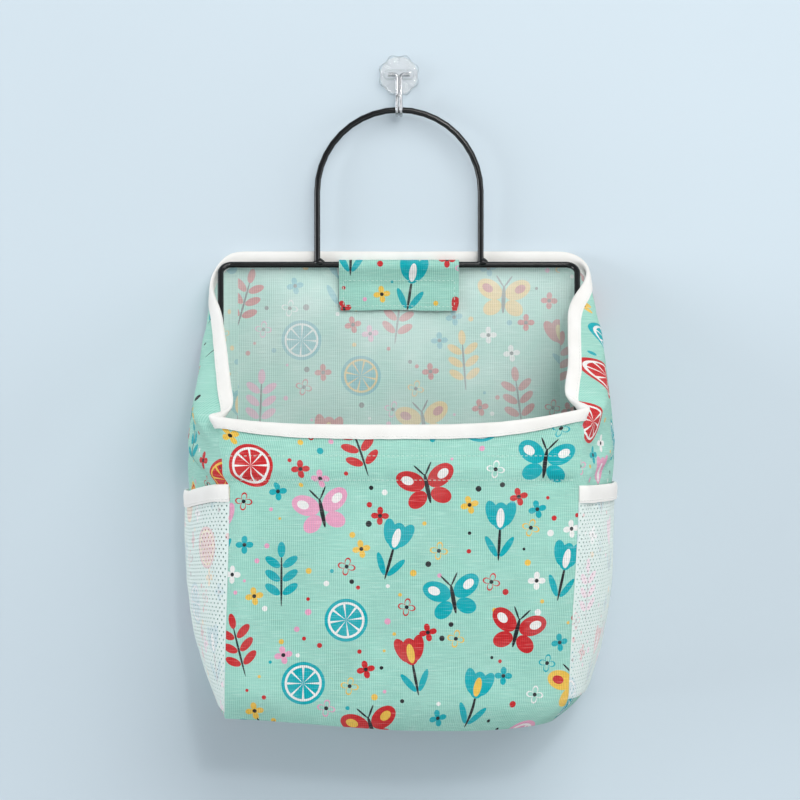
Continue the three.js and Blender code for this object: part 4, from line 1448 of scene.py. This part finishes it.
def loop_wire():
    corners = [
        Vector((-LOOP_BACK_X, BAR_Y, BAR_Z)),
        Vector((LOOP_BACK_X, BAR_Y, BAR_Z)),
        Vector((LOOP_FRONT_X, FRONT_BAR_Y, FRONT_BAR_Z)),
        Vector((-LOOP_FRONT_X, FRONT_BAR_Y, FRONT_BAR_Z)),
    ]
    stops = corners[1:] + corners[:1]
    start = Vector((0, BAR_Y, BAR_Z))
    here, runs = start, []
    for k, corner in enumerate(stops):
        following = stops[k + 1] if k + 1 < len(stops) else start
        before, after = (corner - here).normalized(), (following - corner).normalized()
        angle = before.angle(after)
        trim = LOOP_BEND * math.tan(angle / 2)
        toward = (after - before * before.dot(after)).normalized()
        runs.append(((corner - here).length - trim, LOOP_BEND, angle, toward))
        here = corner + after * trim
    runs.append(((start - here).length, 0, 0, None))
    return bent_wire("frame_loop_wire", start, RIGHT, WIRE_RADIUS, runs, ENAMEL, closed=True)


keep_piece(loop_wire(), "bag", "black_enamel", "frame_loop")

HANDLE_RADIUS = handle_high.x - WIRE_RADIUS
HANDLE_TOP = Vector((0, handle_low.y + WIRE_RADIUS, handle_high.z - WIRE_RADIUS))
FOOT = Vector((HANDLE_RADIUS, BAR_Y, BAR_Z))
handle_slope = HANDLE_TOP - Vector((0, BAR_Y, BAR_Z))
leg_length = handle_slope.length - HANDLE_RADIUS
handle = bent_wire(
    "handle_arch_wire", FOOT, handle_slope.normalized(), WIRE_RADIUS,
    [(leg_length, HANDLE_RADIUS, math.pi, LEFT), (leg_length, 0, 0, None)], ENAMEL,
)
keep_piece(handle, "bag", "black_enamel", "handle_arch")


WELD_SIZE = (3.7 * MM, 2.9 * MM, 3.0 * MM)
WELD_SHIFT = 1.3 * MM  # to the right of the handle's feet
WELD_RISE = 1.6 * MM  # above the bar


def weld_bead(side, name):
    """Lump of weld that runs round the handle's foot and over the bar."""
    bpy.ops.object.select_all(action="DESELECT")
    place = (side * HANDLE_RADIUS + WELD_SHIFT, BAR_Y, BAR_Z + WELD_RISE)
    bpy.ops.mesh.primitive_uv_sphere_add(segments=32, ring_count=20, radius=1.0, location=place)
    bpy.context.object.scale = WELD_SIZE
    obj = settled()
    centre = Vector(place)
    for vertex in obj.data.vertices:
        away = vertex.co - centre
        lump = 1 + 0.10 * ripple(vertex.co, 2.6 * MM, 97 + side)
        waist = 1 - 0.22 * ease(away.z / (3 * MM))
        vertex.co = centre + Vector((away.x * lump * waist, away.y * lump * waist, away.z * lump))
    smooth(obj, 80)
    return named(obj, name, ENAMEL)


for side, word in SIDES:
    bead = weld_bead(side, f"weld_bead_{word}_lump")
    keep_piece(bead, "bag", "black_enamel", f"weld_bead_{word}")


# Wall hook
HOOK_RADIUS = 1.1 * MM
STRAND_X = 1.3 * MM  # half the distance between the doubled strands
HOOK_ARM = hook_high.x
ARM_Y = hook_high.y - HOOK_RADIUS
HOOK_BEND = (hook_high.y - hook_low.y) / 2 - HOOK_RADIUS
HOOK_BOTTOM = hook_low.z + HOOK_RADIUS - 0.15 * MM
HOOK_TIP_RISE = 12.6 * MM


def doubled_hook():
    arm = HOOK_ARM - 2 * STRAND_X
    drop = -HOOK_BOTTOM - HOOK_BEND - STRAND_X
    rise = HOOK_TIP_RISE - HOOK_BEND - STRAND_X
    right_angle, half_turn = math.pi / 2, math.pi
    runs = [
        (arm, STRAND_X, right_angle, DOWN),
        (drop, HOOK_BEND, half_turn, TO_ROOM),
        (rise, STRAND_X, half_turn, LEFT),
        (rise, HOOK_BEND, half_turn, TO_WALL),
        (drop, STRAND_X, right_angle, LEFT),
        (arm, 0, 0, None),
    ]
    return bent_wire("steel_hook_wire", Vector((HOOK_ARM, ARM_Y, 0)), LEFT, HOOK_RADIUS, runs, STEEL)


keep_piece(doubled_hook(), "hook", "polished_steel", "steel_hook")

PLATE_RADIUS = 13.2 * MM
SCALLOP_COUNT = 8
SCALLOP_DEPTH = 0.8 * MM
PLATE_EDGE = 1.3 * MM  # thickness at the plate's rim
PLATE_RINGS = ((0.25, 0.45), (0.5, 0.42), (1.0, 0.36), (1.8, 0.22), (2.5, 0.05))  # steps in and up
BOSS_RINGS = ((0.15, 0.35), (0.35, 0.25), (0.6, 0.1))
BOSS_CROWN = 0.7 * MM  # sum of the boss's steps up
GROOVE_RADIUS = HOOK_RADIUS + 0.35 * MM
BOSS_RADIUS = GROOVE_RADIUS + 1.5 * MM


def crowned_disc(radius, sides, back_y, rim, steps):
    """Disc that faces the room: a straight rim, then rings that step in and rise."""
    bpy.ops.object.select_all(action="DESELECT")
    bpy.ops.mesh.primitive_circle_add(
        vertices=sides, radius=radius, fill_type="NGON", location=(0, back_y, 0), rotation=FACING_ROOM
    )
    obj = settled()
    bpy.ops.object.mode_set(mode="EDIT")
    bpy.ops.mesh.select_all(action="SELECT")
    bpy.ops.mesh.extrude_region_move(TRANSFORM_OT_translate={"value": TO_ROOM * rim})
    for inset, rise in steps:
        bpy.ops.mesh.inset(thickness=inset * MM, depth=rise * MM)
    bpy.ops.mesh.select_all(action="SELECT")
    bpy.ops.mesh.fill_holes(sides=0)
    face_outwards()
    return obj


def joined(obj, other, operation):
    """Join or cut one solid with another, which is used up."""
    finish_with(obj, "BOOLEAN", object=other, operation=operation, solver="EXACT")
    bpy.data.objects.remove(other, do_unlink=True)


def scalloped_plate():
    obj = crowned_disc(PLATE_RADIUS, 192, plate_high.y, PLATE_EDGE, PLATE_RINGS)
    for vertex in obj.data.vertices:
        x, y, z = vertex.co
        wave = -math.cos(SCALLOP_COUNT * math.atan2(z, x))
        reach = math.hypot(x, z) / PLATE_RADIUS
        size = 1 + SCALLOP_DEPTH / PLATE_RADIUS * wave
        front = 1.0 if y < plate_high.y - PLATE_EDGE - 0.2 * MM else 0.0
        lift = front * 0.45 * MM * wave * reach ** 2
        vertex.co = (x * size, y - lift, z * size)
    boss_back = plate_high.y - PLATE_EDGE
    boss_rise = boss_back - plate_low.y
    boss = crowned_disc(BOSS_RADIUS, 64, boss_back, boss_rise - BOSS_CROWN, BOSS_RINGS)
    for vertex in boss.data.vertices:
        vertex.co.x += math.copysign(HOOK_ARM, vertex.co.x)
    joined(obj, boss, "UNION")
    bpy.ops.mesh.primitive_cylinder_add(
        vertices=48, radius=GROOVE_RADIUS, depth=2 * HOOK_ARM + 0.7 * MM, location=(0, ARM_Y, 0),
        rotation=(0, math.pi / 2, 0),
    )
    joined(obj, bpy.context.object, "DIFFERENCE")
    slot_width, slot_height = 2 * (STRAND_X + GROOVE_RADIUS), 2 * BOSS_RADIUS
    slot_depth = 2 * boss_rise
    bpy.ops.mesh.primitive_cube_add(
        size=1, location=(0, ARM_Y + HOOK_RADIUS - slot_depth / 2, GROOVE_RADIUS - slot_height / 2)
    )
    bpy.context.object.scale = (slot_width, slot_depth, slot_height)
    joined(obj, settled(), "DIFFERENCE")
    smooth(obj, 32)
    return named(obj, "wall_plate_clear", CLEAR)


CLEAR = clear_plastic()
keep_piece(scalloped_plate(), "wall plate", "clear_plastic", "wall_plate")

# Pieces kept as packed
for node, material in (("adhesive_pad", FOAM), ("hook_tape", FASTENER), ("loop_tape", FASTENER)):
    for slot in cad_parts[node].material_slots:
        slot.material = material


# Room
WALL_BLUE = (0.595, 0.69, 0.755)
FLOOR_PALE = (0.74, 0.78, 0.80)
FLOOR_Z = -0.62
ROOM = 8.0
BEHIND_PAD = 0.4 * MM  # the backdrop stands clear of the pad's back face


def backdrop_paint(name, colour):
    """Matt paint that shows from its front only, so that the object can be looked at from behind."""
    finish = Finish(name, Roughness=0.9)
    where = finish.place()
    mottle = finish.noise(where, 3.0, 2.0)
    finish.paint(finish.mottled(mottle, colour, tuple(c * 0.97 for c in colour)))
    path = finish.nodes.new("ShaderNodeLightPath").outputs
    seen = finish.any_of(path["Is Camera Ray"], path["Is Glossy Ray"], path["Is Transmission Ray"])
    behind = finish.add("ShaderNodeNewGeometry", {}, "Backfacing")
    seen = finish.times(seen, finish.math("SUBTRACT", 1.0, behind))
    clear = finish.nodes.new("ShaderNodeBsdfTransparent")
    blend = finish.add("ShaderNodeMixShader", {0: seen, 1: clear.outputs[0], 2: finish.shader.outputs[0]})
    finish.links.new(blend, finish.nodes["Material Output"].inputs["Surface"])
    return finish.material


def backdrop(name, location, rotation, material):
    bpy.ops.object.select_all(action="DESELECT")
    bpy.ops.mesh.primitive_plane_add(size=ROOM, location=location, rotation=rotation)
    return named(settled(), name, material)


wall_paint = backdrop_paint("wall_paint", WALL_BLUE)
floor_paint = backdrop_paint("floor_paint", FLOOR_PALE)
wall = backdrop("room_wall", (0, BEHIND_PAD, FLOOR_Z + ROOM / 2), FACING_ROOM, wall_paint)
floor = backdrop("room_floor", (0, -ROOM / 2, FLOOR_Z), (0, 0, 0), floor_paint)


def lamp(name, place, aim, size, power, colour):
    light = bpy.data.lights.new(name, "AREA")
    light.shape = "DISK"
    light.size = size
    light.energy = power
    light.color = colour
    obj = bpy.data.objects.new(name, light)
    obj.location = place
    obj.rotation_euler = (Vector(aim) - Vector(place)).to_track_quat("-Z", "Y").to_euler()
    bpy.context.collection.objects.link(obj)


AIM = (0, -0.05, -0.25)
lamp("key_lamp", (0.85, -1.8, 1.2), AIM, 2.2, 36.0, (1.0, 0.985, 0.96))
lamp("left_lamp", (-2.2, -0.8, -0.2), AIM, 1.2, 24, (0.96, 0.98, 1.0))
lamp("right_lamp", (2.0, -0.9, -0.1), AIM, 1.2, 10, (0.98, 0.99, 1.0))
lamp("sparkle_lamp", (0.3, -1.9, 0.4), AIM, 0.18, 4.2, (1.0, 1.0, 1.0))
lamp("back_lamp", (-0.7, 1.6, 0.6), AIM, 1.2, 16, (1.0, 1.0, 1.0))

world = bpy.data.worlds.new("room_light")
world.use_nodes = True
world.node_tree.nodes["Background"].inputs["Color"].default_value = (0.93, 0.96, 1.0, 1.0)
world.node_tree.nodes["Background"].inputs["Strength"].default_value = 0.45
bpy.context.scene.world = world

CAMERA_PLACE = (0.7 * MM, -1.6, -0.215)
PICTURE_WIDTH = 800
WALL_SCALE = 0.663 * MM  # of wall to one pixel of the picture
SENSOR = 36.0
camera_data = bpy.data.cameras.new("camera")
camera_data.sensor_width = SENSOR
camera_data.lens = SENSOR * -CAMERA_PLACE[1] / (PICTURE_WIDTH * WALL_SCALE)
camera = bpy.data.objects.new("camera", camera_data)
camera.location = CAMERA_PLACE
camera.rotation_euler = FACING_ROOM
bpy.context.collection.objects.link(camera)
bpy.context.scene.camera = camera
bpy.context.scene.view_settings.view_transform = "Standard"
